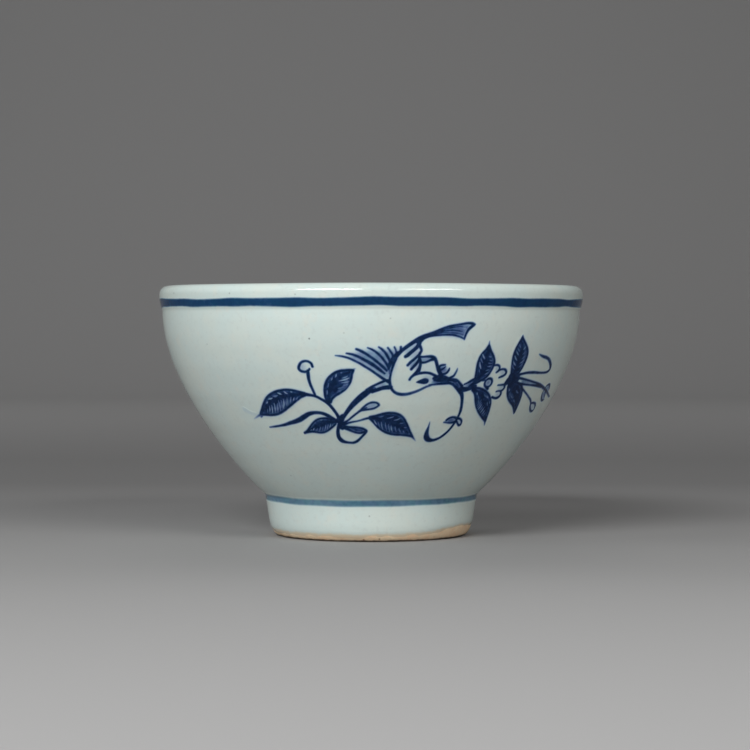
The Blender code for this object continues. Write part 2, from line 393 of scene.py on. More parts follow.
def paint_left_spray(p):
    # The big leaf and its drawn-out tip.
    p.leaf(
        [(-13.3, 29.45), (-14.2, 29.65), (-15.5, 29.95), (-17, 30.1), (-18.5, 29.95), (-20, 29.6), (-21.5, 28.95),
         (-22.6, 28.2), (-23.6, 27.25), (-24.5, 26.3), (-25.5, 25.3)],
        [(-13.3, 29.1), (-14.2, 28.8), (-15.2, 28.25), (-16.4, 27.55), (-17.6, 26.85), (-19, 26.1), (-20.3, 25.58),
         (-21.5, 25.3), (-23, 25.22), (-24.4, 25.25), (-25.5, 25.25)],
        [(-13.5, 29.3), (-15.3, 29.3), (-17, 29.05), (-18.6, 28.7), (-20.2, 28.3), (-21.8, 27.6), (-23.3, 26.8),
         (-24.9, 25.6)],
        width=0.5, rib_width=0.75,
    )
    p.lift((-22, 26.4, 0.3), (-20.4, 26.8, 1.1), (-18.6, 27.5, 1), (-16.6, 28.3, 0.5), to=0.74)
    p.streaks(0.4, 0.24, (-21.95, 28.25, -20.85, 28.5), (-19.25, 29.5, -18.35, 29.2), (-17.75, 29.78, -17.05, 29.35),
              (-16.35, 29.8, -15.95, 29.68), (-22.8, 27.45, -22.35, 27.75))
    p.streaks(0.55, 0.32, (-20.65, 28.85, -19.45, 29.02), (-19.85, 26.05, -19.6, 28.1))
    p.streaks(0.42, 0.2, (-22.75, 25.75, -22.25, 26.95), (-22.05, 25.6, -21.6, 27.1), (-21.4, 25.6, -20.85, 27.5),
              (-20.65, 25.7, -20.05, 27.5), (-18.95, 26.55, -18.35, 28.35), (-17.95, 27.1, -17.4, 28.65),
              (-17.05, 27.5, -16.5, 28.7), (-16.25, 28, -15.8, 28.65))
    p.streaks(0.55, 0.16, (-23.35, 25.65, -22.95, 26.4), (-21, 25.65, -20.5, 27.3), (-19.35, 26.3, -18.95, 28.1),
              (-18.45, 26.85, -17.95, 28.4), (-17.5, 27.3, -17, 28.6), (-15.4, 28.3, -15, 28.75))
    p.stroke((-25.2, 25.3, 0.6), (-26.2, 24.98, 0.4), (-27.1, 24.65, 0.28), (-28.1, 24.3, 0.14), ink=0.85, fade=0.3)
    p.stroke((-25.2, 24.95, 0.34), (-25.7, 24.75, 0.34), ink=0.75)
    p.stroke((-25.6, 25.3, 0.3), (-26.6, 25.2, 0.5), (-28, 25.4, 0.6), (-29.8, 26.1, 0.9), ink=0.1, soft=0.9)
    # The branch down to the knot, and the bud on its stalk.
    p.stroke((-13.2, 29.27, 0.7), (-12, 29.1, 0.5), (-11, 28.85, 0.5), (-10, 28.32, 0.5), (-9.1, 27.8, 0.62),
             (-8.4, 27.15, 0.64), (-7.8, 26.35, 0.6), (-7.2, 25.4, 0.64), (-6.8, 24.5, 0.85))
    p.stroke((-11.15, 28.95, 0.42), (-11.4, 29.8, 0.52), (-11.75, 30.9, 0.56), (-11.95, 32, 0.6), (-11.93, 33, 0.7),
             (-11.9, 33.7, 0.56))
    p.stroke((-11.95, 33.5, 0.46), (-11.5, 34.1, 0.36))
    p.wash([(-13.5, 33.8), (-13.3, 35.1), (-12.6, 35.2), (-12.1, 34.4), (-12.4, 33.6)], 0.22)
    p.stroke((-10.88, 34.55, 0.48), (-11.05, 35.1, 0.46), (-11.6, 35.5, 0.44), (-12.3, 35.55, 0.42),
             (-12.95, 35.3, 0.46), (-13.4, 34.75, 0.52), (-13.58, 34.15, 0.58), (-13.25, 33.72, 0.52),
             (-12.6, 33.55, 0.48), (-12, 33.6, 0.44))
    # The leaf that stands up from the branch.
    p.leaf(
        [(-8.85, 27.9), (-9.1, 28.6), (-9.15, 29.6), (-9, 30.6), (-8.6, 31.6), (-8, 32.4), (-7.2, 33.05),
         (-6.2, 33.6), (-5, 33.82), (-3.9, 33.88), (-3.3, 33.85)],
        [(-8.2, 27.8), (-7.8, 28.5), (-7.1, 29.05), (-6.2, 29.55), (-5.2, 30.2), (-4.5, 30.9), (-3.98, 31.7),
         (-3.68, 32.6), (-3.55, 33.3), (-3.3, 33.8)],
        [(-8.6, 27.9), (-8.3, 29.3), (-7.8, 30.6), (-7.2, 31.6), (-6.2, 32.5), (-5, 33.1), (-3.7, 33.6)],
        width=0.52, rib_width=0.8,
    )
    p.lift((-6.6, 29.9, 0.3), (-5.4, 30.5, 0.8), (-4.8, 31.2, 0.9), (-4.6, 32.2, 0.6), to=0.62)
    p.streaks(0.4, 0.22, (-6.1, 31.85, -4.15, 32.4), (-5.6, 31.5, -4.15, 31.72), (-6.72, 32.55, -6.5, 33.15))
    p.streaks(0.5, 0.2, (-5.3, 31.05, -4.4, 31.25), (-8.45, 30.6, -8.15, 31.4), (-7.65, 31.9, -7.3, 32.55),
              (-5.7, 33.35, -5.4, 33.45), (-8.72, 29.3, -8.62, 30.1), (-5.5, 32.35, -4.4, 32.75))
    p.streaks(0.62, 0.26, (-6.7, 29.65, -5.5, 30.3), (-6.4, 30.4, -5.2, 30.75))
    p.stroke((-3.5, 33.8, 0.46), (-3.1, 34.08, 0.3), (-2.8, 34.2, 0.12), ink=0.85, fade=0.4)
    # The long blade and the small leaf under it.
    p.stroke((-24.4, 22.78, 0.2), (-23, 22.92, 0.34), (-21.5, 23.1, 0.4), (-20, 23.33, 0.5), (-18.5, 23.68, 0.66),
             (-17, 24.02, 0.8), (-15.8, 24.4, 0.9), (-14.6, 24.95, 0.9), (-13.4, 25.5, 0.78), (-12.2, 25.75, 0.64),
             (-11, 25.75, 0.58), (-10, 25.55, 0.62), (-9.1, 25.15, 0.7), (-8.3, 24.65, 0.7), (-7.3, 24.1, 0.66))
    p.leaf(
        [(-7.8, 24.15), (-8.6, 24.45), (-9.6, 24.68), (-10.8, 24.65), (-11.9, 24.35), (-12.9, 23.75), (-13.8, 23),
         (-14.7, 22.25), (-15.6, 21.8)],
        [(-7.8, 23.6), (-8.6, 23.05), (-9.5, 22.5), (-10.4, 22.1), (-11.4, 21.92), (-12.4, 21.98), (-13.5, 22.08),
         (-14.6, 21.98), (-15.6, 21.78)],
        [(-7.7, 23.95), (-9, 24.1), (-10.4, 23.9), (-11.7, 23.5), (-13, 22.9), (-14.2, 22.3), (-15.2, 21.95)],
        width=0.42, rib_width=0.6,
    )
    p.lift((-8.6, 23.4, 0.3), (-10, 22.9, 0.7), (-11.6, 22.5, 0.6), (-13.2, 22.4, 0.3), to=0.74)
    p.streaks(0.42, 0.17, (-13.4, 22.3, -12.9, 22.75), (-11.9, 22.15, -11.35, 22.95), (-10.6, 22.3, -10.05, 23.4),
              (-9.95, 22.5, -9.45, 23.6), (-9.35, 22.85, -8.9, 23.6), (-11.25, 24.38, -10.5, 24.45))
    p.streaks(0.52, 0.15, (-12.6, 22.2, -12.1, 22.8), (-11.2, 22.2, -10.7, 23.2), (-8.75, 23.2, -8.35, 23.6),
              (-12.6, 23.68, -12.3, 23.9), (-13.9, 22.3, -13.6, 22.5))
    # The knot where everything meets, and the long stem up to the bird.
    p.stroke((-7, 24.4, 1), (-6.7, 23.9, 1.3), (-6.6, 23.2, 1.2), (-6.4, 22.9, 0.9))
    p.stroke((-6.6, 24, 1.1), (-6.3, 24.7, 1.2), (-6, 25.1, 0.9))
    p.stroke((-6.2, 24.6, 0.8), (-5.6, 25.3, 0.72), (-4.9, 26.1, 0.78), (-4.1, 26.95, 0.92), (-3.2, 27.8, 1.06),
             (-2.2, 28.65, 1.14), (-1.2, 29.4, 1.16), (-0.3, 30, 1.04), (0.6, 30.3, 0.84))
    p.stroke((-0.8, 30.05, 0.7), (0, 30.66, 0.46), (1, 31.16, 0.44), (2, 31.6, 0.46), (2.9, 31.95, 0.46),
             (3.5, 31.95, 0.44))
    p.stroke((0.2, 29.85, 0.7), (1.2, 30.18, 0.7), (2.2, 30.5, 0.72), (3.1, 30.62, 0.8), (3.8, 30.65, 0.8))
    p.wash([(0, 30.2), (1, 30.9), (2.5, 31.5), (3.3, 31.3), (2, 30.8)], 0.5)
    p.lift((0.4, 30.4, 0.1), (1.3, 30.78, 0.18), (2.2, 31.12, 0.18), (3, 31.32, 0.1), to=0.36)
    # The loop under the knot and the leaf inside it.
    p.stroke((-7, 23.4, 0.86), (-7.4, 22.6, 0.7), (-7.55, 21.8, 0.82), (-7.45, 21, 0.9), (-6.95, 20.45, 0.84),
             (-6.1, 20.12, 0.52), (-5, 19.98, 0.42), (-4, 20.02, 0.46), (-3.1, 20.38, 0.52), (-2.3, 21, 0.48),
             (-1.6, 21.6, 0.46), (-1, 22.15, 0.44))
    p.wash([(-6, 23), (-4.5, 23.1), (-3, 23), (-1.6, 22.7), (-1, 22.3), (-2, 21.95), (-3.3, 21.95), (-4.6, 22.3)],
            0.84)
    p.stroke((-6.2, 23.1, 0.7), (-5, 23.02, 0.46), (-4, 22.98, 0.42), (-3, 22.92, 0.44), (-2, 22.75, 0.46),
             (-1.3, 22.5, 0.46), (-1, 22.3, 0.44))
    p.stroke((-6, 22.9, 0.66), (-5, 22.55, 0.56), (-4.2, 22.2, 0.42), (-3.3, 21.95, 0.4), (-2.4, 21.9, 0.42),
             (-1.7, 22.05, 0.44), (-1.2, 22.3, 0.44))
    p.lift((-4.4, 22.52, 0.1), (-3.9, 22.44, 0.22), (-3.45, 22.36, 0.1), to=0.42)
    p.lift((-2.9, 22.4, 0.14), (-2.2, 22.36, 0.14), to=0.66)
    # The bud on a thin stalk.
    p.stroke((-6.1, 23.7, 0.6), (-5, 24.3, 0.38), (-4, 25, 0.36), (-3, 25.68, 0.38), (-2.2, 26.2, 0.44),
             (-1.4, 26.35, 0.42), (-0.5, 26.45, 0.38), (0.4, 26.6, 0.4), (1.1, 26.88, 0.4), (1.6, 27.25, 0.42),
             ink=0.95)
    p.wash([(-1.8, 26.5), (-0.8, 27.4), (0.3, 27.8), (1.3, 27.6), (1.5, 27.2), (0.6, 26.75), (-0.8, 26.5)], 0.34)
    p.stroke((-2.1, 26.3, 0.46), (-1.4, 26.95, 0.42), (-0.7, 27.45, 0.4), (0.1, 27.74, 0.4), (0.9, 27.75, 0.4),
             (1.45, 27.5, 0.44), (1.6, 27.25, 0.44), ink=0.96)
    p.stroke((-1.6, 26.55, 0.5), (-0.9, 26.75, 0.36), ink=0.84)
    # The lower leaf to the right of the knot.
    p.stroke((-6.2, 23.4, 0.6), (-5, 23.8, 0.42), (-4, 24.02, 0.34), (-3, 24.18, 0.3), (-2, 24.42, 0.34),
             (-1, 24.68, 0.4), (0, 24.85, 0.44), ink=0.9)
    p.leaf(
        [(-0.3, 24.95), (1, 25.18), (2.2, 25.5), (3.4, 25.72), (4.6, 25.72), (5.7, 25.5), (6.6, 25.05), (7.3, 24.35),
         (7.9, 23.5), (8.5, 22.65), (9.1, 21.75), (9.6, 21.2)],
        [(-0.3, 24.7), (0.4, 24.1), (1, 23.5), (1.7, 22.9), (2.5, 22.4), (3.4, 22), (4.5, 21.72), (5.7, 21.58),
         (7, 21.52), (8.2, 21.42), (9, 21.32), (9.6, 21.15)],
        [(-0.1, 24.8), (1.5, 24.72), (3, 24.45), (4.5, 24.05), (5.9, 23.5), (7.2, 22.75), (8.6, 21.75)],
        width=0.48, rib_width=0.62,
    )
    p.stroke((9.3, 21.35, 0.6), (9.9, 20.9, 0.42), (10.6, 20.3, 0.16), ink=0.9, fade=0.5)
    p.lift((1.2, 23.9, 0.3), (2.8, 23.2, 0.9), (4.6, 22.7, 0.9), (6.6, 22.3, 0.5), to=0.74)
    p.streaks(0.42, 0.18, (3.45, 24.72, 4.8, 25.02), (4.95, 24.35, 6.25, 24.72), (0.65, 24.35, 1.3, 23.45),
              (2.25, 24, 2.65, 22.55), (4.4, 23.3, 4.8, 22.15), (5.3, 23.1, 5.7, 22.1), (6.2, 22.75, 6.7, 22))
    p.streaks(0.52, 0.16, (1.5, 24.95, 2.7, 25.18), (6.3, 23.75, 7.2, 23.85), (1.45, 24.2, 2, 22.95),
              (3.1, 23.85, 3.55, 22.3), (3.8, 23.6, 4.2, 22.2), (7.25, 22.3, 7.6, 21.9), (7.3, 22.95, 7.9, 22.9))


def paint_bird(p):
    # The near wing: pale ink under a fan of feathers.
    p.wash([(-4.2, 36.5), (-2.2, 37.3), (-0.6, 37.6), (1.4, 37.7), (3, 37.6), (4.2, 37.8), (5.3, 37.7), (4.6, 36.4),
            (4, 34.6), (3.6, 33), (3.3, 32), (2.4, 32.4), (0.6, 33.6), (-1.6, 35), (-3.6, 36)], 0.37, soft=0.4)
    p.wash([(1.2, 34.4), (2.4, 35), (3.8, 36.6), (4.8, 37), (4.2, 35), (3.6, 32.6), (3, 32.6)], 0.42, soft=0.5)
    feathers = (
        [(-6.4, 36.6, 0.2), (-5.2, 36.45, 0.36), (-4, 36.12, 0.4), (-3, 35.66, 0.44), (-2, 35.12, 0.46),
         (-1, 34.5, 0.48), (0, 33.86, 0.48), (1, 33.16, 0.48), (2, 32.46, 0.52), (2.8, 31.95, 0.56),
         (3.4, 31.6, 0.56)],
        [(-4.4, 37.02, 0.26), (-3.3, 36.8, 0.46), (-2.3, 36.4, 0.56), (-1.3, 35.85, 0.62), (-0.3, 35.28, 0.7),
         (0.7, 34.62, 0.68), (1.6, 33.95, 0.6), (2.5, 33.25, 0.44)],
        [(-2.6, 37.8, 0.42), (-1.7, 37.4, 0.54), (-0.8, 36.85, 0.54), (0.2, 36.15, 0.54), (1.2, 35.35, 0.54),
         (2.1, 34.55, 0.58), (2.9, 33.75, 0.46)],
        [(-0.6, 38.05, 0.26), (0.2, 37.7, 0.4), (1, 37.15, 0.48), (1.8, 36.4, 0.5), (2.45, 35.55, 0.52),
         (3, 34.75, 0.54), (3.3, 34.2, 0.5)],
        [(1.35, 38.18, 0.3), (2.05, 37.65, 0.48), (2.6, 37, 0.5), (3.1, 36.15, 0.52), (3.5, 35.3, 0.54)],
        [(2.95, 38.05, 0.34), (3.4, 37.45, 0.42), (3.8, 36.8, 0.46), (4, 36.1, 0.5)],
        [(4.1, 38.2, 0.26), (4.4, 37.55, 0.36), (4.55, 36.8, 0.44)],
        [(5.25, 38.2, 0.4), (5.25, 37.6, 0.46), (4.95, 37.05, 0.5)],
    )
    for feather in feathers:
        p.stroke(*feather, ink=0.95, soft=0.36)
    p.stroke((3.2, 34.1, 0.5), (3.4, 34.9, 0.8), (3.8, 35.7, 0.9), (4.3, 36.5, 0.8), (4.8, 37.1, 0.7), ink=0.95)
    p.stroke((3.3, 34.6, 0.5), (3.35, 33.9, 0.4), (3.4, 33.2, 0.3), ink=0.72)
    # The back and the tail.
    p.stroke((4.3, 36, 0.6), (4.75, 36.7, 0.66), (5.3, 37.35, 0.66), (5.95, 37.95, 0.66), (6.65, 38.5, 0.7),
             (7.45, 39.08, 0.7), (8.3, 39.68, 0.74), (9.3, 40.16, 0.8), (10.3, 40.52, 0.76), (11.3, 40.98, 0.6),
             (12.3, 41.5, 0.5), (13.3, 41.92, 0.44), (14.3, 42.18, 0.42), (15.3, 42.36, 0.42), (16.3, 42.52, 0.44),
             (17.3, 42.66, 0.48), (18.1, 42.58, 0.56), (18.55, 42.42, 0.4))
    p.wash([(9, 39.9), (10.5, 40.7), (13, 41.8), (16, 42.5), (18.2, 42.5), (17.2, 41.4), (16.8, 39.8), (15, 40.2),
            (12, 40.4), (10, 40.2)], 0.52)
    p.stroke((18.4, 42.36, 0.6), (17.9, 41.95, 0.6), (17.4, 41.4, 0.54), (17.08, 40.7, 0.46), (16.9, 40.1, 0.42),
             (16.85, 39.6, 0.26))
    p.stroke((8.6, 39.3, 0.8), (9.1, 39.74, 0.6), (10, 40.16, 0.5), (11, 40.34, 0.42), (12, 40.42, 0.4),
             (13, 40.48, 0.42), (14, 40.5, 0.42), (15, 40.38, 0.4), (16, 40.1, 0.38), (16.8, 39.72, 0.3))
    p.stroke((9, 40, 0.8), (10, 40.4, 0.8), (11, 40.72, 0.84), (12, 41, 0.8), (12.8, 41.3, 0.6), ink=0.95)
    p.stroke((12.4, 41.45, 0.5), (13.5, 41.65, 0.42), (14.6, 41.88, 0.36), (15.6, 42.02, 0.3), (16.3, 42.05, 0.24),
             ink=0.88)
    p.stroke((12.2, 41.1, 0.5), (13.5, 41.28, 0.46), (14.6, 41.34, 0.4), (15.6, 41.22, 0.34), (16.3, 41.08, 0.26),
             ink=0.88)
    p.stroke((12.2, 40.8, 0.4), (13.4, 40.9, 0.3), (14.6, 40.84, 0.3), (15.6, 40.72, 0.3), (16.5, 40.46, 0.3),
             ink=0.84)
    p.lift((15.3, 40.46, 0.06), (16.1, 40.24, 0.1), to=0.45)
    p.lift((14.9, 41.6, 0.08), (15.8, 41.66, 0.16), (16.7, 41.6, 0.3), (17, 41.7, 0.14), to=0.26)
    p.lift((15.4, 41, 0.08), (16.5, 40.85, 0.16), to=0.42)
    p.lift((13.6, 41.48, 0.06), (14.6, 41.62, 0.1), to=0.5)
    p.lift((17, 42.2, 0.1), (17.45, 42.36, 0.1), to=0.42)
    # The breast, round to the throat.
    p.stroke((4.4, 36, 0.66), (4.12, 35.2, 0.6), (3.9, 34.3, 0.5), (3.7, 33.4, 0.44), (3.56, 32.5, 0.46),
             (3.55, 31.7, 0.56), (3.7, 30.95, 0.6), (4.05, 30.25, 0.56), (4.6, 29.72, 0.52), (5.4, 29.38, 0.58),
             (6.4, 29.28, 0.58), (7.4, 29.4, 0.56), (8.4, 29.68, 0.52), (9.3, 30, 0.5), (10.1, 30.38, 0.46),
             (10.9, 30.76, 0.42), (11.7, 31, 0.36), ink=0.98, fade=0.78)
    # The far wing, in short strokes that hang from the back.
    p.wash([(5.7, 37.2), (7.6, 38.9), (8.3, 39), (8.4, 38.4), (6.4, 36.6)], 0.24)
    p.wash([(6.9, 36.3), (8.2, 37.8), (8.8, 37.6), (8.6, 36.6), (7.4, 35.8)], 0.24)
    p.stroke((8.3, 39.3, 1), (8.8, 39.6, 0.9))
    p.stroke((8.5, 39.4, 0.8), (8.5, 38.85, 0.76), (8.2, 38.25, 0.72), (7.65, 37.68, 0.7), (7.05, 37.12, 0.7),
             (6.55, 36.66, 0.7), (6.2, 36.42, 0.6))
    p.stroke((8.5, 38.7, 0.6), (8.8, 38.1, 0.5), (9, 37.5, 0.48), (8.72, 36.95, 0.5), (8.7, 36.3, 0.56),
             (9, 35.7, 0.5), (9.1, 35, 0.46), (9.05, 34.3, 0.46), (8.95, 33.6, 0.46))
    p.stroke((8.8, 36.95, 0.46), (8.3, 36.4, 0.5), (7.8, 35.9, 0.52), (7.2, 35.35, 0.54), (6.72, 34.8, 0.52))
    p.wash([(7, 34.6), (8.4, 36.1), (8.9, 35.6), (8.1, 34.4), (7.6, 33.9)], 0.46)
    p.stroke((8.8, 36, 0.54), (8.5, 35.4, 0.54), (8.1, 34.85, 0.56), (7.7, 34.38, 0.56), (7.45, 34.05, 0.54))
    p.lift((7.45, 34.85, 0.08), (8, 35.45, 0.14), (8.3, 35.75, 0.08), to=0.38)
    p.wash([(8.2, 34.2), (8.9, 35.2), (9, 34), (8.6, 33.4)], 0.4)
    p.stroke((9.05, 35.4, 0.5), (9, 34.6, 0.54), (8.75, 33.9, 0.6), (8.4, 33.35, 0.62), (7.95, 32.9, 0.54),
             (7.55, 32.5, 0.5), (7.32, 32.1, 0.48))
    # The far wing's shoulder.
    p.wash([(9, 36.2), (11, 36.4), (11.7, 35.9), (10.6, 35.4), (9.2, 35.4)], 0.46)
    p.stroke((8.7, 36.35, 0.46), (9.5, 36.35, 0.42), (10.3, 36.42, 0.46), (11, 36.4, 0.6), (11.6, 36.1, 0.66),
             (11.95, 35.6, 0.62), (12.2, 35, 0.6), (12.45, 34.4, 0.66), (12.8, 33.8, 0.8), (13.2, 33.2, 0.8))
    p.stroke((9.1, 35.3, 0.5), (9.8, 35.3, 0.42), (10.4, 35.52, 0.46), (11, 35.8, 0.52), (11.5, 35.9, 0.56))
    p.lift((9.5, 35.8, 0.1), (10.2, 35.95, 0.16), (10.9, 36.08, 0.06), to=0.42)
    p.wash([(9.3, 35.1), (10.6, 35.4), (11.5, 35.4), (12.3, 33.6), (11, 33.7), (9.3, 33.8)], 0.08)
    # The head.
    p.stroke((7.9, 32.85, 0.46), (8.4, 33.05, 0.44), (9.2, 33.28, 0.46), (10.1, 33.38, 0.46), (11, 33.3, 0.46),
             (11.8, 33, 0.5), (12.5, 32.65, 0.56), (13.2, 32.3, 0.66))
    p.wash([(9.4, 31), (11, 31), (11.8, 31.4), (12, 32.2), (11.4, 32.9), (10.4, 32.9), (9.2, 32.5), (9.9, 32.3),
            (11.2, 31.9), (10.6, 31.2)], 0.2)
    p.stroke((8.75, 31.6, 0.2), (9.2, 31.66, 0.56), (9.7, 31.72, 0.84), (10.25, 31.8, 1.1), (10.6, 31.8, 1), ink=0.98,
             soft=0.3)
    # The beak, the feathers at its root and the branch that it holds.
    p.wash([(11.6, 31.1), (13, 31.2), (15, 31.3), (16, 31.6), (15.6, 32.3), (13.4, 32.7), (12, 32.5)], 0.62)
    p.stroke((12, 32.3, 0.6), (13, 32.6, 0.76), (14, 32.5, 0.8), (15, 32.15, 0.76), (16, 31.95, 0.6),
             (16.8, 31.7, 0.5))
    p.stroke((11.3, 31.05, 0.34), (12.4, 31.18, 0.42), (13.4, 31.28, 0.5), (14.4, 31.36, 0.54), (15.4, 31.42, 0.54),
             ink=0.93)
    p.stroke((12.2, 31.95, 0.5), (13, 31.95, 0.66), (14, 31.95, 0.76), (15, 31.9, 0.7), ink=0.97)
    p.lift((12.1, 31.58, 0.16), (12.7, 31.58, 0.14), (13.4, 31.62, 0.06), to=0.46)
    p.wash([(12.6, 34.5), (13.7, 34.8), (14.5, 34), (14.6, 33.4), (13.2, 33.2)], 0.56)
    p.stroke((13.1, 33.2, 0.7), (12.85, 33.9, 0.64), (12.72, 34.4, 0.56), (13.1, 34.75, 0.42), (13.85, 34.85, 0.34))
    p.stroke((13.2, 33, 0.6), (13.9, 33.12, 0.52), (14.45, 33.4, 0.48), (14.75, 33.85, 0.42), (14.82, 34.2, 0.24))
    p.stroke((12.9, 33.8, 0.6), (13.4, 34, 0.5), (13.8, 34.3, 0.36), (14, 34.5, 0.2), ink=0.95)
    p.lift((13.75, 33.55, 0.08), (14.15, 33.8, 0.16), (14.3, 34.05, 0.1), to=0.34)
    p.stroke((15.3, 32.4, 0.5), (15.95, 32.75, 0.48), (16.25, 33.3, 0.42), (16.42, 33.8, 0.36), (16.45, 34.2, 0.16),
             ink=0.97, fade=0.75)
    p.wash([(14.6, 32.8), (15.1, 33.4), (15.9, 33.3), (15.6, 32.8)], 0.14)


def paint_right_spray(p):
    # The branch from the beak and the tendril that hangs from it.
    p.wash([(15.6, 31.6), (16.4, 32.1), (17.8, 31.2), (18.3, 30.6), (17.6, 30.2), (16.4, 31.1)], 0.78)
    p.stroke((15.9, 32.1, 0.5), (16.8, 31.95, 0.46), (17.6, 31.4, 0.46), (18.3, 30.75, 0.6))
    p.stroke((15.3, 31.45, 0.5), (16.2, 31.15, 0.5), (17, 30.6, 0.56), (17.7, 30.1, 0.7), (18.3, 29.7, 0.9))
    p.stroke((18.2, 30.2, 1.1), (18.9, 30.15, 1), (19.7, 30.25, 0.9), (20.5, 30.5, 0.9), (21.3, 30.6, 0.9))
    p.stroke((18.3, 29.8, 0.9), (18.85, 29, 0.74), (19.2, 28.1, 0.64), (19.45, 27.1, 0.62), (19.6, 26.2, 0.66),
             (19.58, 25.4, 0.56), (19.4, 24.6, 0.56), (19.15, 23.8, 0.54), (18.75, 23, 0.52), (18.2, 22.2, 0.5),
             (17.4, 21.45, 0.5), (16.5, 20.85, 0.48), (15.6, 20.5, 0.5), (14.8, 20.38, 0.56), (14, 20.4, 0.74))
    p.stroke((14.4, 20.4, 0.6), (13.7, 20.55, 0.96), (13.1, 21, 1.26), (12.9, 21.6, 1.08), (12.9, 22.3, 0.76),
             (12.98, 23, 0.44), (13.02, 23.6, 0.26), (13.03, 24, 0.1), fade=0.85)
    p.wash([(16.8, 24.2), (17.6, 24.8), (18.6, 24.8), (19.3, 24.3), (18.4, 23.8), (17.2, 23.8)], 0.6)
    p.stroke((19.4, 24.5, 0.66), (18.8, 24.75, 0.5), (18.1, 24.82, 0.42), (17.4, 24.62, 0.46), (16.85, 24.28, 0.46),
             ink=0.97)
    p.stroke((19.3, 24, 0.66), (18.7, 23.84, 0.5), (18, 23.76, 0.46), (17.3, 23.8, 0.42), (16.35, 23.88, 0.3),
             ink=0.96, fade=0.75)
    p.lift((17.6, 24.27, 0.12), (18.1, 24.33, 0.2), to=0.42)
    p.wash([(19.7, 24.4), (20.5, 24.2), (20.8, 23.6), (20.3, 23.4), (19.8, 23.8)], 0.36)
    p.stroke((19.5, 24.6, 0.5), (20.1, 24.5, 0.46), (20.65, 24.15, 0.44), (20.85, 23.7, 0.42), (20.75, 23.32, 0.48),
             (20.4, 23.25, 0.46), (20, 23.5, 0.44), (19.6, 23.9, 0.46), ink=0.95)
    # The first pair of leaves.
    p.stroke((18.75, 31.15, 0.34), (19.4, 31.42, 0.42), (20.1, 31.8, 0.6), (20.9, 32.1, 0.7), ink=0.97)
    p.wash([(18.8, 30.6), (19.2, 31.2), (20.3, 31.7), (20.9, 31.4), (20.4, 30.8), (19.6, 30.5)], 0.66)
    p.stroke((19.9, 30.7, 0.5), (20.6, 31.2, 0.7), (21.2, 31.6, 0.9))
    p.leaf(
        [(20.9, 31.7), (20.78, 32.6), (20.68, 33.6), (20.6, 34.6), (20.62, 35.6), (20.85, 36.5), (21.3, 37.2),
         (21.8, 37.75), (22.15, 38.5)],
        [(21.4, 31.4), (22.4, 31.95), (23.2, 32.4), (23.75, 33.1), (24.1, 34), (24.3, 34.9), (24.1, 35.7),
         (23.6, 36.5), (23, 37.2), (22.5, 37.9), (22.15, 38.5)],
        [(21.2, 31.5), (21.6, 32.7), (22, 34), (22.25, 35.4), (22.35, 36.8), (22.2, 38.2)],
        width=0.5, rib_width=0.86,
    )
    p.stroke((22.2, 36.8, 0.9), (22.2, 37.9, 0.66), (22.15, 38.6, 0.4), (22.12, 39.3, 0.14), fade=0.7)
    p.streaks(0.4, 0.22, (21.15, 36.85, 21.85, 35.95), (20.95, 35.3, 21.5, 34.1))
    p.streaks(0.52, 0.18, (20.95, 36.1, 21.6, 35.2), (21.1, 34.1, 21.5, 33.3), (22.95, 35.75, 23.75, 35.55),
              (22.9, 35.15, 23.85, 35.1), (22.85, 34.5, 23.75, 34.6), (22.75, 33.7, 23.5, 33.9),
              (22.8, 33, 23.45, 33.4), (22.75, 36.4, 23.3, 36.3))
    p.leaf(
        [(20.9, 30.35), (22, 30.4), (23, 30.2), (24, 29.85), (24.9, 29.4), (25.7, 28.8), (26.3, 28.1), (26.75, 27.3),
         (27.05, 26.4), (27.25, 25.5), (27.35, 24.7), (27.5, 23.9)],
        [(20.9, 30.05), (21.7, 29.4), (22.2, 28.6), (22.6, 27.8), (23.1, 27.05), (23.75, 26.35), (24.5, 25.7),
         (25.3, 25.15), (26.1, 24.65), (26.9, 24.2), (27.5, 23.85)],
        [(21.2, 30.2), (22.4, 29.6), (23.6, 28.7), (24.6, 27.6), (25.5, 26.5), (26.4, 25.4), (27.2, 24.3)],
        width=0.48, rib_width=0.66,
    )
    p.lift((22.7, 28.9, 0.3), (23.7, 27.6, 0.7), (24.9, 26.4, 0.7), (26.2, 25.3, 0.3), to=0.72)
    p.streaks(0.44, 0.2, (22.2, 29.6, 22.65, 29), (24.9, 28.9, 25.6, 28.4), (24, 26.25, 24.5, 27.35),
              (25, 25.6, 25.5, 26.7))
    p.streaks(0.54, 0.18, (26.3, 27.75, 26.6, 27.3), (23.1, 28.1, 23.6, 27.4), (23.3, 26.95, 23.95, 28.1),
              (24.5, 25.9, 25, 27), (25.6, 25.3, 26, 26.2), (23.65, 26.6, 24.2, 27.7), (26.1, 25, 26.4, 25.6),
              (22.8, 28.9, 23.2, 28.3), (25.7, 27.7, 26.2, 26.9), (24.2, 29.2, 24.9, 28.6))
    p.stroke((27.3, 24.3, 0.6), (27.55, 23.6, 0.44), (27.8, 23.1, 0.2), ink=0.95, fade=0.6)
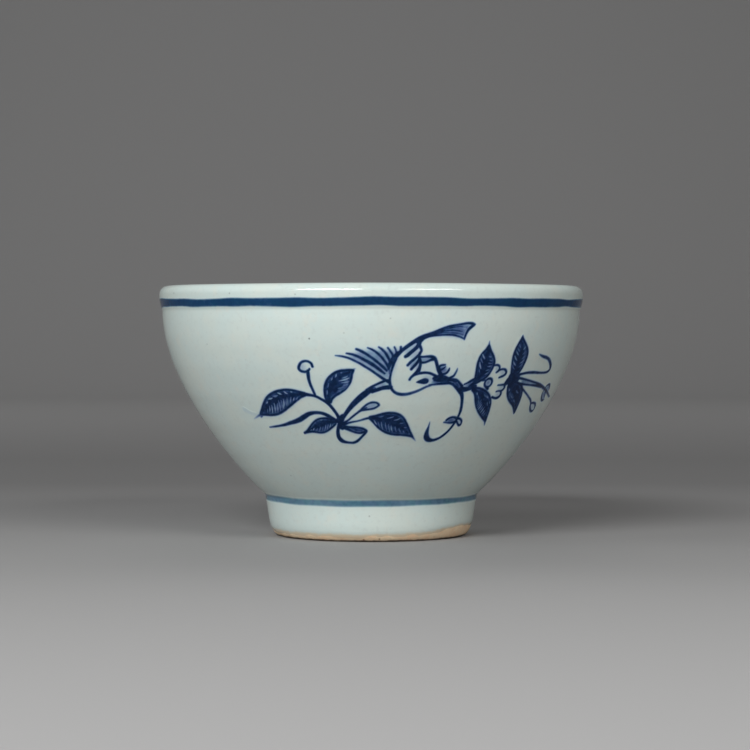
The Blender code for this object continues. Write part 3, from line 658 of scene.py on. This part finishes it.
    # The flower.
    p.wash([(25, 34.6), (25.8, 34.3), (25.6, 33.4), (25, 33.6)], 0.26)
    p.stroke((24.6, 34.72, 0.4), (25.2, 34.76, 0.42), (25.75, 34.5, 0.44), (25.95, 34.05, 0.46), (25.8, 33.6, 0.48),
             (25.45, 33.38, 0.42), ink=0.93)
    p.wash([(26, 33.8), (27.6, 33.9), (27.8, 33), (26.8, 32.6)], 0.2)
    p.stroke((25.8, 33.75, 0.46), (26.5, 33.9, 0.42), (27.2, 33.92, 0.46), (27.8, 33.6, 0.52), (27.95, 33.1, 0.54),
             (27.55, 32.72, 0.52), (27, 32.5, 0.48), (26.5, 32.35, 0.34), ink=0.93)
    p.stroke((29, 31, 0.6), (28.3, 30.95, 0.42), (27.6, 30.9, 0.38), (26.9, 30.88, 0.32), ink=0.93)
    p.wash([(27.2, 30.9), (28.8, 30.9), (28.6, 29.9), (27.4, 29.8)], 0.2)
    p.stroke((28.7, 30.9, 0.5), (28.95, 30.4, 0.52), (28.7, 29.95, 0.52), (28.2, 29.78, 0.38), (27.6, 29.76, 0.36),
             (27.1, 29.66, 0.32), ink=0.93)
    p.wash([(27.2, 29.6), (28.4, 29.4), (28.3, 28.7), (27.2, 28.7)], 0.24)
    p.stroke((28.2, 29.8, 0.38), (28.6, 29.3, 0.52), (28.5, 28.75, 0.56), (27.95, 28.42, 0.54), (27.2, 28.42, 0.44),
             (26.5, 28.6, 0.46), ink=0.95)
    p.wash([(23.4, 31.4), (24.2, 32.1), (25, 31.4), (24.2, 30.6)], 0.52)
    ring = [(24.25 + 0.86 * math.cos(a), 31.38 + 0.8 * math.sin(a), 0.5) for a in np.linspace(0.4, 6.5, 14)]
    p.stroke(*ring, ink=0.92)
    p.stroke((22.6, 31.9, 0.5), (23.1, 31.9, 0.46), (23.5, 31.8, 0.36), ink=0.92)
    p.stroke((24, 30.5, 0.46), (24.6, 30.2, 0.56), ink=0.94)
    # The second pair of leaves and their knot.
    p.stroke((28.9, 31.2, 0.9), (29.6, 31.8, 1.6), (30.4, 31.9, 1.9), (31.2, 31.9, 1.7), (31.9, 31.9, 1.1))
    p.stroke((29.5, 32.6, 1), (30.3, 32.8, 1.2), (31.2, 32.8, 1), (32, 32.6, 0.6))
    p.leaf(
        [(29.5, 33), (29.2, 33.9), (28.9, 34.9), (28.65, 35.9), (28.6, 36.9), (28.75, 37.8), (29.1, 38.7),
         (29.45, 39.4), (29.75, 40)],
        [(31.5, 33.2), (31.95, 34), (32.2, 34.9), (32.35, 35.8), (32.3, 36.7), (31.95, 37.6), (31.3, 38.4),
         (30.6, 39.1), (30.1, 39.6), (29.75, 40)],
        [(30.4, 33), (30.45, 34.4), (30.5, 35.8), (30.5, 37.2), (30.25, 38.5), (29.85, 39.7)],
        width=0.52, rib_width=0.66,
    )
    p.stroke((29.6, 39.2, 0.5), (29.75, 39.9, 0.46), (29.75, 40.35, 0.2), ink=0.95)
    p.lift((31.6, 34.2, 0.3), (31.75, 35.4, 0.8), (31.6, 36.7, 0.8), (31, 38.2, 0.4), to=0.68)
    p.streaks(0.42, 0.22, (28.95, 36.45, 29.9, 35.55), (28.9, 35.5, 29.95, 34.6), (29, 37.4, 29.85, 36.6))
    p.streaks(0.54, 0.18, (29.4, 38.65, 29.95, 38), (29.15, 38, 29.9, 37.3), (29.1, 34.6, 29.95, 33.9),
              (30.95, 34.2, 31.75, 34.9), (30.95, 35, 31.95, 35.75), (30.95, 35.8, 31.95, 36.6),
              (30.9, 36.7, 31.6, 37.4), (30.75, 37.6, 31.2, 38.2))
    p.leaf(
        [(31.2, 31.4), (32.3, 31.25), (33.4, 30.95), (34.3, 30.45), (35, 29.7), (35.5, 28.8), (35.8, 27.8),
         (36, 26.8), (36.15, 25.9), (36.2, 25.4)],
        [(29.9, 30.6), (30.3, 29.7), (30.85, 28.9), (31.6, 28.2), (32.6, 27.6), (33.6, 27.15), (34.5, 26.65),
         (35.3, 26.05), (36.2, 25.35)],
        [(30.4, 31), (31.6, 30.1), (32.9, 29.2), (34.1, 28.2), (35.1, 27.1), (35.9, 25.9)],
        width=0.5, rib_width=0.66,
    )
    p.stroke((30, 31, 0.8), (31, 30.6, 1), (32, 30.6, 0.9), (33, 30.3, 0.8), (34, 29.6, 0.6))
    p.lift((31.2, 29.5, 0.3), (32.2, 28.8, 0.8), (33.4, 28, 0.7), (34.8, 27, 0.3), to=0.72)
    p.streaks(0.56, 0.22, (30.55, 30.2, 30.9, 29.7), (32, 28.75, 32.9, 28.3), (33.4, 28, 34.3, 27.4),
              (33, 29.8, 34.2, 29.2), (31.2, 29.4, 31.8, 28.8))


def paint_tendrils(p):
    p.stroke((31.6, 32.8, 0.6), (32.6, 32.95, 0.5), (34, 33.15, 0.5), (35.5, 33.2, 0.54), (37, 33.18, 0.52),
             (38.5, 33.1, 0.44), (40, 33.08, 0.42), (41.3, 33.12, 0.46), (42.3, 33.35, 0.6), (42.75, 33.75, 0.76),
             (42.5, 34.3, 0.76), (41.8, 34.9, 0.7), (40.9, 35.45, 0.66), (39.9, 35.85, 0.58), (38.8, 36.1, 0.6),
             (37.7, 36.28, 0.52), (36.6, 36.55, 0.36), (36, 36.75, 0.16), fade=0.85)
    p.wash([(33.2, 31.9), (36, 31.5), (39, 31.1), (41.5, 30.6), (39, 30.8), (36, 30.95), (33.6, 31.2)], 0.6)
    p.stroke((31.8, 32.2, 0.6), (33.2, 32.05, 0.46), (34.8, 31.8, 0.44), (36.4, 31.55, 0.4), (38, 31.3, 0.4),
             (39.6, 31.05, 0.42), (41.2, 30.75, 0.48), (42.6, 30.4, 0.54), (44, 30.05, 0.56), (45.5, 29.75, 0.54),
             (47, 29.4, 0.48), (48.6, 29, 0.46), (50.2, 28.65, 0.42), (52, 28.3, 0.38), (54, 28.1, 0.22), fade=0.85)
    p.stroke((33.2, 31, 0.6), (34.8, 30.92, 0.42), (36.4, 30.8, 0.38), (38, 30.7, 0.42), (39.6, 30.6, 0.48),
             (41.2, 30.45, 0.52), (42.4, 30.3, 0.48))
    p.wash([(45.2, 30), (45.6, 30.5), (46.6, 30.6), (47.6, 30.3), (48.2, 29.6), (46.4, 29.7)], 0.5)
    p.stroke((44.9, 29.95, 0.42), (45.3, 30.45, 0.42), (46.1, 30.68, 0.42), (47, 30.6, 0.42), (47.8, 30.2, 0.42),
             (48.5, 29.6, 0.38), ink=0.95)
    p.wash([(45, 29.4), (45.6, 28.4), (46.8, 27.8), (48, 27.6), (47.6, 28.8), (46.6, 29.4)], 0.44)
    p.stroke((44.95, 29.7, 0.42), (45, 29, 0.42), (45.5, 28.4, 0.44), (46.3, 27.9, 0.44), (47.2, 27.62, 0.44),
             (48.1, 27.5, 0.42), (48.9, 27.65, 0.32), ink=0.96)
    p.stroke((46, 29.5, 0.38), (46.9, 29.05, 0.38), (47.6, 28.5, 0.38), (48.2, 27.9, 0.34), ink=0.93)
    p.stroke((34.2, 30.3, 0.42), (35.4, 29.8, 0.38), (36.6, 29.3, 0.34), (37.8, 28.8, 0.34), (39, 28.3, 0.36),
             (40.2, 27.8, 0.4), (41.2, 27.2, 0.44), (41.9, 26.5, 0.46), (42.6, 26, 0.46), (43.5, 25.6, 0.46),
             (44.4, 25.45, 0.46), (45.1, 25.55, 0.48), (45.25, 25.9, 0.5), (44.8, 26.45, 0.48), (44, 26.9, 0.46),
             (43.1, 27.12, 0.44), (42.2, 27.15, 0.42), (41.4, 27.1, 0.38), ink=0.97)
    p.wash([(42, 26.8), (43.2, 27), (44.6, 26.3), (44.8, 25.8), (43.4, 25.8), (42.4, 26.3)], 0.2)


PAINTED = (
    ("painted_left_spray", paint_left_spray),
    ("painted_bird", paint_bird),
    ("painted_right_spray", paint_right_spray),
    ("painted_tendrils", paint_tendrils),
)
EDGE_OF_PAINT = 0.03
UNEVEN = 0.07
HALO, HALO_REACH = 0.16, 0.42
# How many cells past its own paint a piece may reach, to take in the halo.
PIECE_REACH = 16
# A cut is kept this far from the corners of its cell, as a share of the side, so that no face is a sliver.
LEAST_CUT = 0.08


def painted_wall():
    """The whole painting: the strokes, a little uneven, with a breath of cobalt drawn into the glaze round them."""
    painting = Painting()
    for index, (_, paint) in enumerate(PAINTED):
        painting.now = index
        paint(painting)
    drawn = painting.cobalt
    uneven = 1 + UNEVEN * cloudy(0.45) + UNEVEN * cloudy(1.3)
    halo = HALO * blurred(drawn, HALO_REACH / PITCH)
    cobalt = np.clip(np.maximum(blurred(drawn, 0.5) * uneven, 0) + halo, 0, 1)
    return cobalt, spread(painting.piece)


def spread(piece):
    """Gives each empty point of the grid the piece of its nearest painted neighbour, some way out."""
    piece = piece.copy()
    for _ in range(PIECE_REACH):
        empty = piece < 0
        for axis in (0, 1):
            for step in (1, -1):
                beside = np.roll(piece, step, axis=axis)
                take = empty & (beside >= 0) & (piece < 0)
                piece[take] = beside[take]
    return piece


def film_faces(cobalt, mine):
    """The cells of the grid that hold paint, cut along the line where it ends, as (corners, faces). Each corner
    is (u, v, amount)."""
    inside = cobalt > EDGE_OF_PAINT
    number = {}
    corners, faces = [], []

    def corner(row, column):
        key = (row, column)
        if key not in number:
            number[key] = len(corners)
            corners.append((GRID_U[column], GRID_V[row], cobalt[row, column]))
        return number[key]

    def cut(r0, c0, r1, c1):
        key = (min(r0, r1), min(c0, c1), r0 != r1, "cut")
        if key not in number:
            number[key] = len(corners)
            t = (EDGE_OF_PAINT - cobalt[r0, c0]) / (cobalt[r1, c1] - cobalt[r0, c0])
            t = min(max(t, LEAST_CUT), 1 - LEAST_CUT)
            u = GRID_U[c0] + t * (GRID_U[c1] - GRID_U[c0])
            v = GRID_V[r0] + t * (GRID_V[r1] - GRID_V[r0])
            corners.append((u, v, EDGE_OF_PAINT))
        return number[key]

    touched = inside[:-1, :-1] | inside[1:, :-1] | inside[:-1, 1:] | inside[1:, 1:]
    for row, column in zip(*np.nonzero(touched & mine[:-1, :-1])):
        ring = ((row, column), (row, column + 1), (row + 1, column + 1), (row + 1, column))
        face = []
        for here, following in zip(ring, (*ring[1:], ring[0])):
            if inside[here]:
                face.append(corner(*here))
            if inside[here] != inside[following]:
                face.append(cut(*here, *following))
        if len(face) > 2:
            faces.append(tuple(int(i) for i in face))
    return np.array(corners), faces


def thin_film(name, corners, faces, material, turn=turned_to):
    """A closed film of paint in the face of the glaze, from its outer faces on the unrolled wall."""
    angle = turn(corners[:, 0], corners[:, 1])
    top = placed(angle, *wall_point(corners[:, 1], FILM_TOP))
    bottom = placed(angle, *wall_point(corners[:, 1], FILM_BOTTOM))
    count = len(corners)
    ways = {(a, b) for face in faces for a, b in zip(face, (*face[1:], face[0]))}
    sides = [(b, a, a + count, b + count) for a, b in ways if (b, a) not in ways]
    under = [tuple(i + count for i in reversed(face)) for face in faces]
    made = add_mesh(name, np.vstack([top, bottom]), [*faces, *under, *sorted(sides)], material)
    set_numbers(made, "cobalt", np.tile(corners[:, 2], 2))
    return made


# ---------------------------------------------------------------- the two painted lines


BAND_COLUMNS, BAND_ROWS = 900, 22


def band(name, material, low, high, amount, soft):
    """A painted line all round the wall. low, high and amount are functions of the angle; its edges are soft."""
    columns, rows = BAND_COLUMNS, BAND_ROWS
    angle = np.arange(columns) * math.tau / columns
    bottom, top, strength = low(angle), high(angle), amount(angle)
    share = np.linspace(0, 1, rows)[:, None]
    v = bottom - soft + share * (top - bottom + 2 * soft)
    rise = np.clip((v - bottom + soft) / (2 * soft), 0, 1)
    fall = np.clip((top + soft - v) / (2 * soft), 0, 1)
    cobalt = strength * rise**2 * (3 - 2 * rise) * fall**2 * (3 - 2 * fall)
    u = np.broadcast_to(angle * UNROLLED, v.shape)
    corners = np.column_stack([u.ravel(), v.ravel(), cobalt.ravel()])
    faces = []
    for row in range(rows - 1):
        for column in range(columns):
            beside = (column + 1) % columns
            a, b = row * columns, (row + 1) * columns
            faces.append((a + column, a + beside, b + beside, b + column))
    return thin_film(name, corners, faces, material, lambda u, v: u / UNROLLED)


# ---------------------------------------------------------------- the materials


class Shader:
    """A new material with helpers for its nodes."""

    def __init__(self, name):
        self.material = bpy.data.materials.new(name)
        self.material.use_nodes = True
        self.tree = self.material.node_tree
        self.surface = self.tree.nodes["Principled BSDF"]
        self.place = self.tree.nodes.new("ShaderNodeTexCoord").outputs["Object"]

    def node(self, kind, **settings):
        made = self.tree.nodes.new(kind)
        for key, value in settings.items():
            setattr(made, key, value)
        return made

    def put(self, value, socket):
        """Links a socket to the output of another node, or gives it a constant value."""
        if isinstance(value, bpy.types.NodeSocket):
            self.tree.links.new(value, socket)
        else:
            socket.default_value = value

    def noise(self, size_mm, detail=2.0, rough=0.5):
        """Noise whose features are about that many millimetres across, from 0 to 1."""
        made = self.node("ShaderNodeTexNoise")
        self.put(self.place, made.inputs["Vector"])
        self.put(1 / (size_mm * MM), made.inputs["Scale"])
        self.put(detail, made.inputs["Detail"])
        self.put(rough, made.inputs["Roughness"])
        return made.outputs["Fac"]

    def math(self, operation, a, b=0.0):
        made = self.node("ShaderNodeMath", operation=operation)
        self.put(a, made.inputs[0])
        self.put(b, made.inputs[1])
        return made.outputs[0]

    def ranged(self, value, low, high, to_low=0.0, to_high=1.0):
        """A value that eases from to_low, where the given one is low, to to_high, where it is high."""
        made = self.node("ShaderNodeMapRange", interpolation_type="SMOOTHSTEP")
        for socket, given in zip(made.inputs, (value, low, high, to_low, to_high)):
            self.put(given, socket)
        return made.outputs[0]

    def mix(self, share, a, b, kind="MIX"):
        made = self.node("ShaderNodeMix", data_type="RGBA", blend_type=kind)
        self.put(share, made.inputs[0])
        self.put((*a, 1) if isinstance(a, tuple) else a, made.inputs[6])
        self.put((*b, 1) if isinstance(b, tuple) else b, made.inputs[7])
        return made.outputs[2]

    def ramp(self, value, *stops):
        made = self.node("ShaderNodeValToRGB")
        points = made.color_ramp.elements
        for at, _ in stops[2:]:
            points.new(at)
        for point, (at, colour) in zip(points, stops):
            point.position = at
            point.color = (*colour, 1)
        self.put(value, made.inputs["Fac"])
        return made.outputs["Color"]

    def number(self, name):
        return self.node("ShaderNodeAttribute", attribute_name=name).outputs["Fac"]

    def spots(self, spacing_mm, radius_mm, share):
        """1 in round spots a few to a patch of that spacing, 0 between them. share is how many patches have one."""
        made = self.node("ShaderNodeTexVoronoi", feature="F1")
        self.put(self.place, made.inputs["Vector"])
        self.put(1 / (spacing_mm * MM), made.inputs["Scale"])
        near = self.ranged(made.outputs["Distance"], radius_mm / spacing_mm, 0.35 * radius_mm / spacing_mm)
        apart = self.node("ShaderNodeSeparateColor")
        self.put(made.outputs["Color"], apart.inputs[0])
        chosen = self.math("LESS_THAN", apart.outputs[0], share)
        return self.math("MULTIPLY", near, chosen)

    def round_spot(self, u, v, radius_mm, dark):
        """A number that is dark in one round spot at a point (u, v) of the wall and 0 elsewhere."""
        angle = float(turned_to(u, v))
        radius, height = thrown(angle, float(np.interp(v, WALL[:, 1], WALL[:, 0])), v)
        made = self.node("ShaderNodeVectorMath", operation="DISTANCE")
        self.put(self.place, made.inputs[0])
        made.inputs[1].default_value = (MM * radius * math.sin(angle), -MM * radius * math.cos(angle), MM * height)
        return self.ranged(made.outputs["Value"], radius_mm * MM, 0.3 * radius_mm * MM, 0.0, dark)

    def bump(self, height, strength, distance_mm):
        made = self.node("ShaderNodeBump")
        self.put(strength, made.inputs["Strength"])
        self.put(distance_mm * MM, made.inputs["Distance"])
        self.put(height, made.inputs["Height"])
        self.put(made.outputs["Normal"], self.surface.inputs["Normal"])

    def set(self, **values):
        for name, value in values.items():
            self.put(value, self.surface.inputs[name.replace("_", " ")])


GLAZE_COLOUR = (0.640, 0.715, 0.672)
GLAZE_WARM = (0.675, 0.700, 0.640)
GLAZE_COOL = (0.610, 0.710, 0.685)
# What cobalt lets through, by how much of it there is: in the brushwork, in the line under the lip and in the
# thinner one over the foot. The glaze's own colour is multiplied by it.
BRUSHED = (
    (0.0, (1, 1, 1)),
    (0.12, (0.82, 0.87, 0.96)),
    (0.35, (0.42, 0.50, 0.76)),
    (0.6, (0.12, 0.18, 0.42)),
    (0.85, (0.020, 0.056, 0.20)),
    (1.0, (0.006, 0.023, 0.09)),
)
BANDED = (
    (0.0, (1, 1, 1)),
    (0.15, (0.80, 0.87, 0.95)),
    (0.5, (0.15, 0.25, 0.42)),
    (0.8, (0.012, 0.068, 0.195)),
    (1.0, (0.007, 0.05, 0.15)),
)
THINNED = (
    (0.0, (1, 1, 1)),
    (0.15, (0.86, 0.91, 0.96)),
    (0.5, (0.27, 0.38, 0.52)),
    (0.8, (0.12, 0.21, 0.34)),
    (1.0, (0.06, 0.12, 0.24)),
)
# Dark pinholes in the glaze: (u, v, radius, how dark).
PINHOLES = (
    (-10.9, 39.75, 0.26, 0.75),
    (-43.8, 48.5, 0.3, 0.4),
    (-26.3, 48.3, 0.26, 0.4),
    (-13.1, 48.0, 0.26, 0.3),
    (-4.7, 40.8, 0.24, 0.25),
    (3.3, 43.5, 0.22, 0.3),
    (-0.6, 5.2, 0.26, 0.4),
)


def glaze_material(name, stain=None, edged=False):
    """The pale, glossy glaze, faintly mottled and with a few dark specks. stain is a ramp of cobalt colours for
    paint, and edged adds the pinholes and the warm, thin edge over the foot rim."""
    s = Shader(name)
    clouds = s.noise(7, detail=3)
    colour = s.mix(s.ranged(clouds, 0.35, 0.7), GLAZE_COOL, GLAZE_COLOUR)
    colour = s.mix(s.ranged(s.noise(2.6, detail=4, rough=0.6), 0.5, 0.78, 0.0, 0.6), colour, GLAZE_WARM)
    specks = s.math("MAXIMUM", s.spots(5.5, 0.22, 0.34), s.math("MULTIPLY", s.spots(2.4, 0.14, 0.25), 0.6))
    colour = s.mix(s.ranged(s.noise(0.9, detail=3, rough=0.6), 0.5, 0.8, 0.0, 0.5), colour, (0.54, 0.60, 0.575))
    colour = s.mix(s.math("MULTIPLY", specks, 0.45), colour, (0.2, 0.26, 0.28))
    if edged:
        for hole in PINHOLES:
            colour = s.mix(s.round_spot(*hole), colour, (0.09, 0.11, 0.12))
        bare = s.ranged(s.math("ADD", s.number("edge"), s.math("MULTIPLY", s.noise(1.1, detail=3), 0.6)), 0.55, 1.2)
        colour = s.mix(s.math("MULTIPLY", bare, 0.95), colour, (0.74, 0.60, 0.42))
    if stain:
        cobalt = s.math("MULTIPLY", s.number("cobalt"), s.ranged(s.noise(0.9, detail=3), 0.25, 0.75, 0.92, 1.05))
        tinted = s.ranged(s.noise(1.4, detail=2), 0.42, 0.62)
        stained = s.ramp(cobalt, *stain)
        greener = s.mix(1.0, stained, (0.8, 1.12, 0.95), kind="MULTIPLY")
        share = s.math("MULTIPLY", tinted, s.ranged(cobalt, 0.1, 0.5, 0, 0.5))
        colour = s.mix(1.0, colour, s.mix(share, stained, greener), kind="MULTIPLY")
    s.set(Base_Color=colour, IOR=1.52, Specular_IOR_Level=0.14 if stain else 0.5)
    s.put(s.ranged(s.noise(3.0), 0.3, 0.7, 0.03, 0.06), s.surface.inputs["Roughness"])
    dimples = s.math("ADD", s.noise(1.6, detail=1), s.math("MULTIPLY", specks, -1.5))
    s.bump(dimples, 0.12, 0.05)
    return s.material


def clay_material():
    """Unglazed stoneware: buff, flashed orange near the glaze, gritty, with brown spots, and with a painted contact
    shadow where it stands.
    """
    s = Shader("bare_clay")
    colour = s.mix(s.ranged(s.noise(3.0, detail=4), 0.35, 0.7), (0.84, 0.67, 0.46), (0.80, 0.55, 0.35))
    colour = s.mix(s.ranged(s.noise(0.5, detail=3), 0.4, 0.75, 0, 0.7), colour, (0.78, 0.65, 0.46))
    colour = s.mix(s.math("MULTIPLY", s.spots(1.5, 0.3, 0.4), 0.75), colour, (0.26, 0.12, 0.06))
    colour = s.mix(s.math("MULTIPLY", s.spots(0.7, 0.12, 0.4), 0.6), colour, (0.3, 0.19, 0.12))
    # Painted contact shadow: the clay is darkened almost to black in a ragged band within about 0.75 mm of the floor,
    # and less on the ring that touches it. The stain mask below carries this painted shade.
    apart = s.node("ShaderNodeSeparateXYZ")
    s.put(s.place, apart.inputs[0])
    low = s.math("ADD", apart.outputs["Z"], s.math("MULTIPLY", s.noise(1.2, detail=3), 0.5 * MM))
    off_the_table = s.ranged(apart.outputs["Z"], 0.03 * MM, 0.14 * MM, 0.25, 0.9)
    stain = s.math("MULTIPLY", s.ranged(low, 0.75 * MM, 0.42 * MM), off_the_table)
    colour = s.mix(stain, colour, (0.07, 0.045, 0.035))
    s.set(Base_Color=colour, Roughness=0.88, IOR=1.45)
    grit = s.math("ADD", s.noise(0.35, detail=4, rough=0.7), s.math("MULTIPLY", s.spots(0.9, 0.16, 0.5), -0.8))
    s.bump(grit, 0.6, 0.12)
    return s.material


def floor_material():
    """Matt grey, darker behind the cup than in front of it: painted shade and light laid into the floor's colour."""
    s = Shader("studio_floor")
    apart = s.node("ShaderNodeSeparateXYZ")
    s.put(s.place, apart.inputs[0])
    depth = s.ranged(apart.outputs["Y"], -0.3, 0.9)
    # The greys paint shade into the floor: a dark band just behind the cup and a lighter stretch in front of it.
    greys = ((0, 0.42), (0.1, 0.31), (0.2, 0.235), (0.33, 0.175), (0.47, 0.175), (0.75, 0.23), (1, 0.275))
    colour = s.ramp(depth, *((at, (grey, 0.985 * grey, 0.985 * grey)) for at, grey in greys))
    s.set(Base_Color=colour, Roughness=0.75)
    return s.material


# ---------------------------------------------------------------- the pieces


def dress(piece, slot, *nodes):
    """Fixes a piece to the body and hides the imported nodes that it stands for, if any. slot is not used."""
    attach(piece, "root")
    if nodes:
        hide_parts(*nodes)


# Over this height the coat thins towards its edge, by this much at the very edge.
THINS_OVER = 1.2
THINS_BY = 0.24


def build_glaze():
    """The coat that covers the outside, the lip and the inside in one, down to its uneven edge over the foot."""
    start = 1.0
    outer = above(outside(104), start)
    surface = joined(outer, lip_arc(0, 90, 12), inside(72))
    under = inset(surface, GLAZE)[::-3]
    edge = glaze_edge(TURN)
    profile = np.vstack([surface, [(0, under[0, 1])], under[under[:, 0] > 0]])
    radii, heights = grid_of(profile)
    on_foot = (profile[:, 1] < FOOT_TOP[1]) & (profile[:, 0] > RECESS_RADIUS)
    for row in np.nonzero(on_foot)[0]:
        share = (profile[row, 1] - start) / (FOOT_TOP[1] - start)
        height = edge + share * (FOOT_TOP[1] - edge)
        depth = np.interp(profile[row, 1], WALL[:, 1], WALL[:, 0]) - profile[row, 0]
        radii[row] = np.interp(height, WALL[:, 1], WALL[:, 0]) - depth
        heights[row] = height
    thick = np.clip((heights - edge) / THINS_OVER, 0, 1)
    radii[: len(outer)] -= THINS_BY * (1 - thick[: len(outer)]) ** 1.5
    made = turned("glaze_coat", glaze_material("pale_glaze", edged=True), radii, heights)
    set_edge_numbers(made)
    return made


def set_edge_numbers(made):
    """Keeps on the coat how near each of its points is to the lower edge, from 0 to 1."""
    points = np.array([v.co for v in made.data.vertices]) / MM
    angle = np.arctan2(points[:, 0], -points[:, 1])
    all_edge, none = 0.2, 1.3
    near = 1 - np.clip((points[:, 2] - glaze_edge(angle) - all_edge) / (none - all_edge), 0, 1)
    near[np.hypot(points[:, 0], points[:, 1]) < RECESS_RADIUS] = 0
    set_numbers(made, "edge", near)


def build_clay():
    """The clay body under the glaze, which shows only as the worn foot rim that the cup stands on."""
    outer = inset(above(outside(60), 3.2), CLAY_UNDER)
    lip = inset(lip_arc(0, 90, 8), CLAY_UNDER)[1:]
    inner = inset(inside(48), CLAY_UNDER)[1:]
    ceiling = inset(recess(12), CLAY_UNDER)
    rim = curve((RECESS_RADIUS + 0.12, 1.1), (RECESS_RADIUS + 0.15, 0.35), (17.4, 0.06), (17.9, 0), 6)
    side = curve((18.4, 0.02), (19.45, 0.1), (20.0, 1.0), (FOOT_WAIST[0] - 0.16, FOOT_WAIST[1] - 0.1), 16)
    neck = [(FOOT_WAIST[0] - 0.5, FOOT_WAIST[1] + 0.1)]
    profile = joined(ceiling, [(RECESS_RADIUS + CLAY_UNDER, 1.35)], rim, side, neck, outer[1:], lip, inner)
    radii, heights = grid_of(profile)
    on_rim = (profile[:, 1] < 2.6) & (profile[:, 1] > 0.1) & (profile[:, 0] > 18.7)
    radii[on_rim] += waves(TURN, (0.03, 7, 0.3), (0.025, 13, 1.4), (0.02, 29, 2.2), (0.015, 47, 0.7))
    return turned("bare_clay_body", clay_material(), radii, heights)


def build_recess():
    """The coat in the hollow under the foot."""
    surface = recess(24)
    profile = joined(surface, inset(surface, GLAZE - GLAZE_GAP)[::-2])
    return turned("recess_coat", glaze_material("glaze_under_foot"), *grid_of(profile))


def build_object():
    dress(build_glaze(), "pale_glaze", "outer_glaze", "inner_glaze")
    dress(build_clay(), "bare_clay", "clay_body")
    dress(build_recess(), "pale_glaze", "recess_glaze")

    stained = glaze_material("cobalt_in_glaze", BRUSHED)
    rim = band(
        "rim_line_paint",
        glaze_material("cobalt_under_lip", BANDED),
        lambda a: 45.84 + waves(a, (0.06, 5, 0.4), (0.07, 11, 2), (0.04, 23, 1), (0.02, 41, 0)),
        lambda a: 47.38 + waves(a, (0.07, 4, 1.4), (0.07, 9, 0.5), (0.05, 19, 2), (0.02, 37, 1)),
        lambda a: 0.9 + waves(a, (0.05, 3, 0.4), (0.03, 17, 1), (0.02, 35, 2)),
        0.26,
    )
    dress(rim, "dark_cobalt", "rim_line")
    foot = band(
        "foot_line_paint",
        glaze_material("cobalt_over_foot", THINNED),
        lambda a: 7.16 - 0.12 * np.cos(2 * a) + waves(a, (0.08, 1, 0.4), (0.04, 3, 0), (0.03, 13, 2)),
        lambda a: 8.34 - 0.12 * np.cos(2 * a) + waves(a, (0.05, 4, 1), (0.03, 11, 0)),
        lambda a: 0.75 + waves(a, (0.05, 3, 1.2), (0.04, 8, 2)),
        0.34,
    )
    dress(foot, "thin_cobalt", "foot_line")

    cobalt, piece = painted_wall()
    for index, (name, _) in enumerate(PAINTED):
        corners, faces = film_faces(cobalt, piece == index)
        dress(thin_film(name, corners, faces, stained), "dark_cobalt")


# ---------------------------------------------------------------- the studio


def add_light(name, azimuth, elevation, distance, size, power, colour=(1, 1, 1), seen=False):
    """A soft light that faces the cup. Azimuth is round to the right of the camera, in degrees. Only a light
    that is seen shows in the gloss of the glaze."""
    a, e = math.radians(azimuth), math.radians(elevation)
    way = np.array([math.sin(a) * math.cos(e), -math.cos(a) * math.cos(e), math.sin(e)])
    data = bpy.data.lights.new(name, "AREA")
    data.shape = "ELLIPSE"
    data.size, data.size_y = size
    data.energy = power
    data.color = colour
    light = bpy.data.objects.new(name, data)
    light.location = way * distance + np.array([0, 0, HEIGHT * MM])
    light.rotation_euler = (math.pi / 2 - e, 0, a)
    light.visible_glossy = seen
    bpy.context.scene.collection.objects.link(light)


def build_studio():
    """A pale floor that curves up into a backdrop, in metres, with soft lights."""
    side, front, back, rise, bend = 4.5, -4.5, 0.9, 2.4, 0.35
    line = [(front, 0), (back, 0)]
    line += [(back + bend * math.sin(t), bend * (1 - math.cos(t))) for t in np.linspace(0, math.pi / 2, 16)[1:]]
    line += [(back + bend, rise)]
    points = np.array([(x, y, z) for y, z in line for x in (-side, side)])
    faces = [(2 * i, 2 * i + 1, 2 * i + 3, 2 * i + 2) for i in range(len(line) - 1)]
    add_mesh("studio_floor", points, faces, floor_material())

    world = bpy.data.worlds.new("studio")
    world.use_nodes = True
    world.node_tree.nodes["Background"].inputs["Color"].default_value = (0.9, 0.95, 1.0, 1)
    world.node_tree.nodes["Background"].inputs["Strength"].default_value = 0.03
    bpy.context.scene.world = world
    add_light("key", -23.5, 31, 1.2, (0.72, 0.24), 10.4, (0.985, 1.0, 1.0), seen=True)
    add_light("second", 34.5, 31, 1.2, (0.70, 0.2), 4.3, (1.0, 0.985, 0.96), seen=True)
    add_light("between", 6, 48, 1.3, (0.5, 0.3), 1.1)
    add_light("left", -66, 35, 1.2, (0.5, 0.5), 1.9, (0.97, 1.0, 0.99))
    add_light("far_left", -128, 25, 1.2, (0.5, 0.5), 1.5)
    add_light("far_right", 132, 30, 1.2, (0.5, 0.5), 0.7, (1.0, 0.98, 0.95))
    add_light("behind", 180, 45, 1.2, (0.7, 0.7), 2.2)


CAMERA_AT = (0, -0.5063, 0.0428)
CAMERA_LENS, CAMERA_SENSOR = 120.2, 36
# In degrees.
LOOKS_DOWN = 1.20
LOOKS_RIGHT = 0.09


def build_camera():
    data = bpy.data.cameras.new("camera")
    data.sensor_width = CAMERA_SENSOR
    data.lens = CAMERA_LENS
    data.clip_start = 0.01
    camera = bpy.data.objects.new("camera", data)
    camera.location = CAMERA_AT
    camera.rotation_euler = (math.radians(90 - LOOKS_DOWN), 0, math.radians(-LOOKS_RIGHT))
    bpy.context.scene.collection.objects.link(camera)
    bpy.context.scene.camera = camera


build_object()
build_studio()
build_camera()
bpy.context.scene.view_settings.view_transform = "Standard"
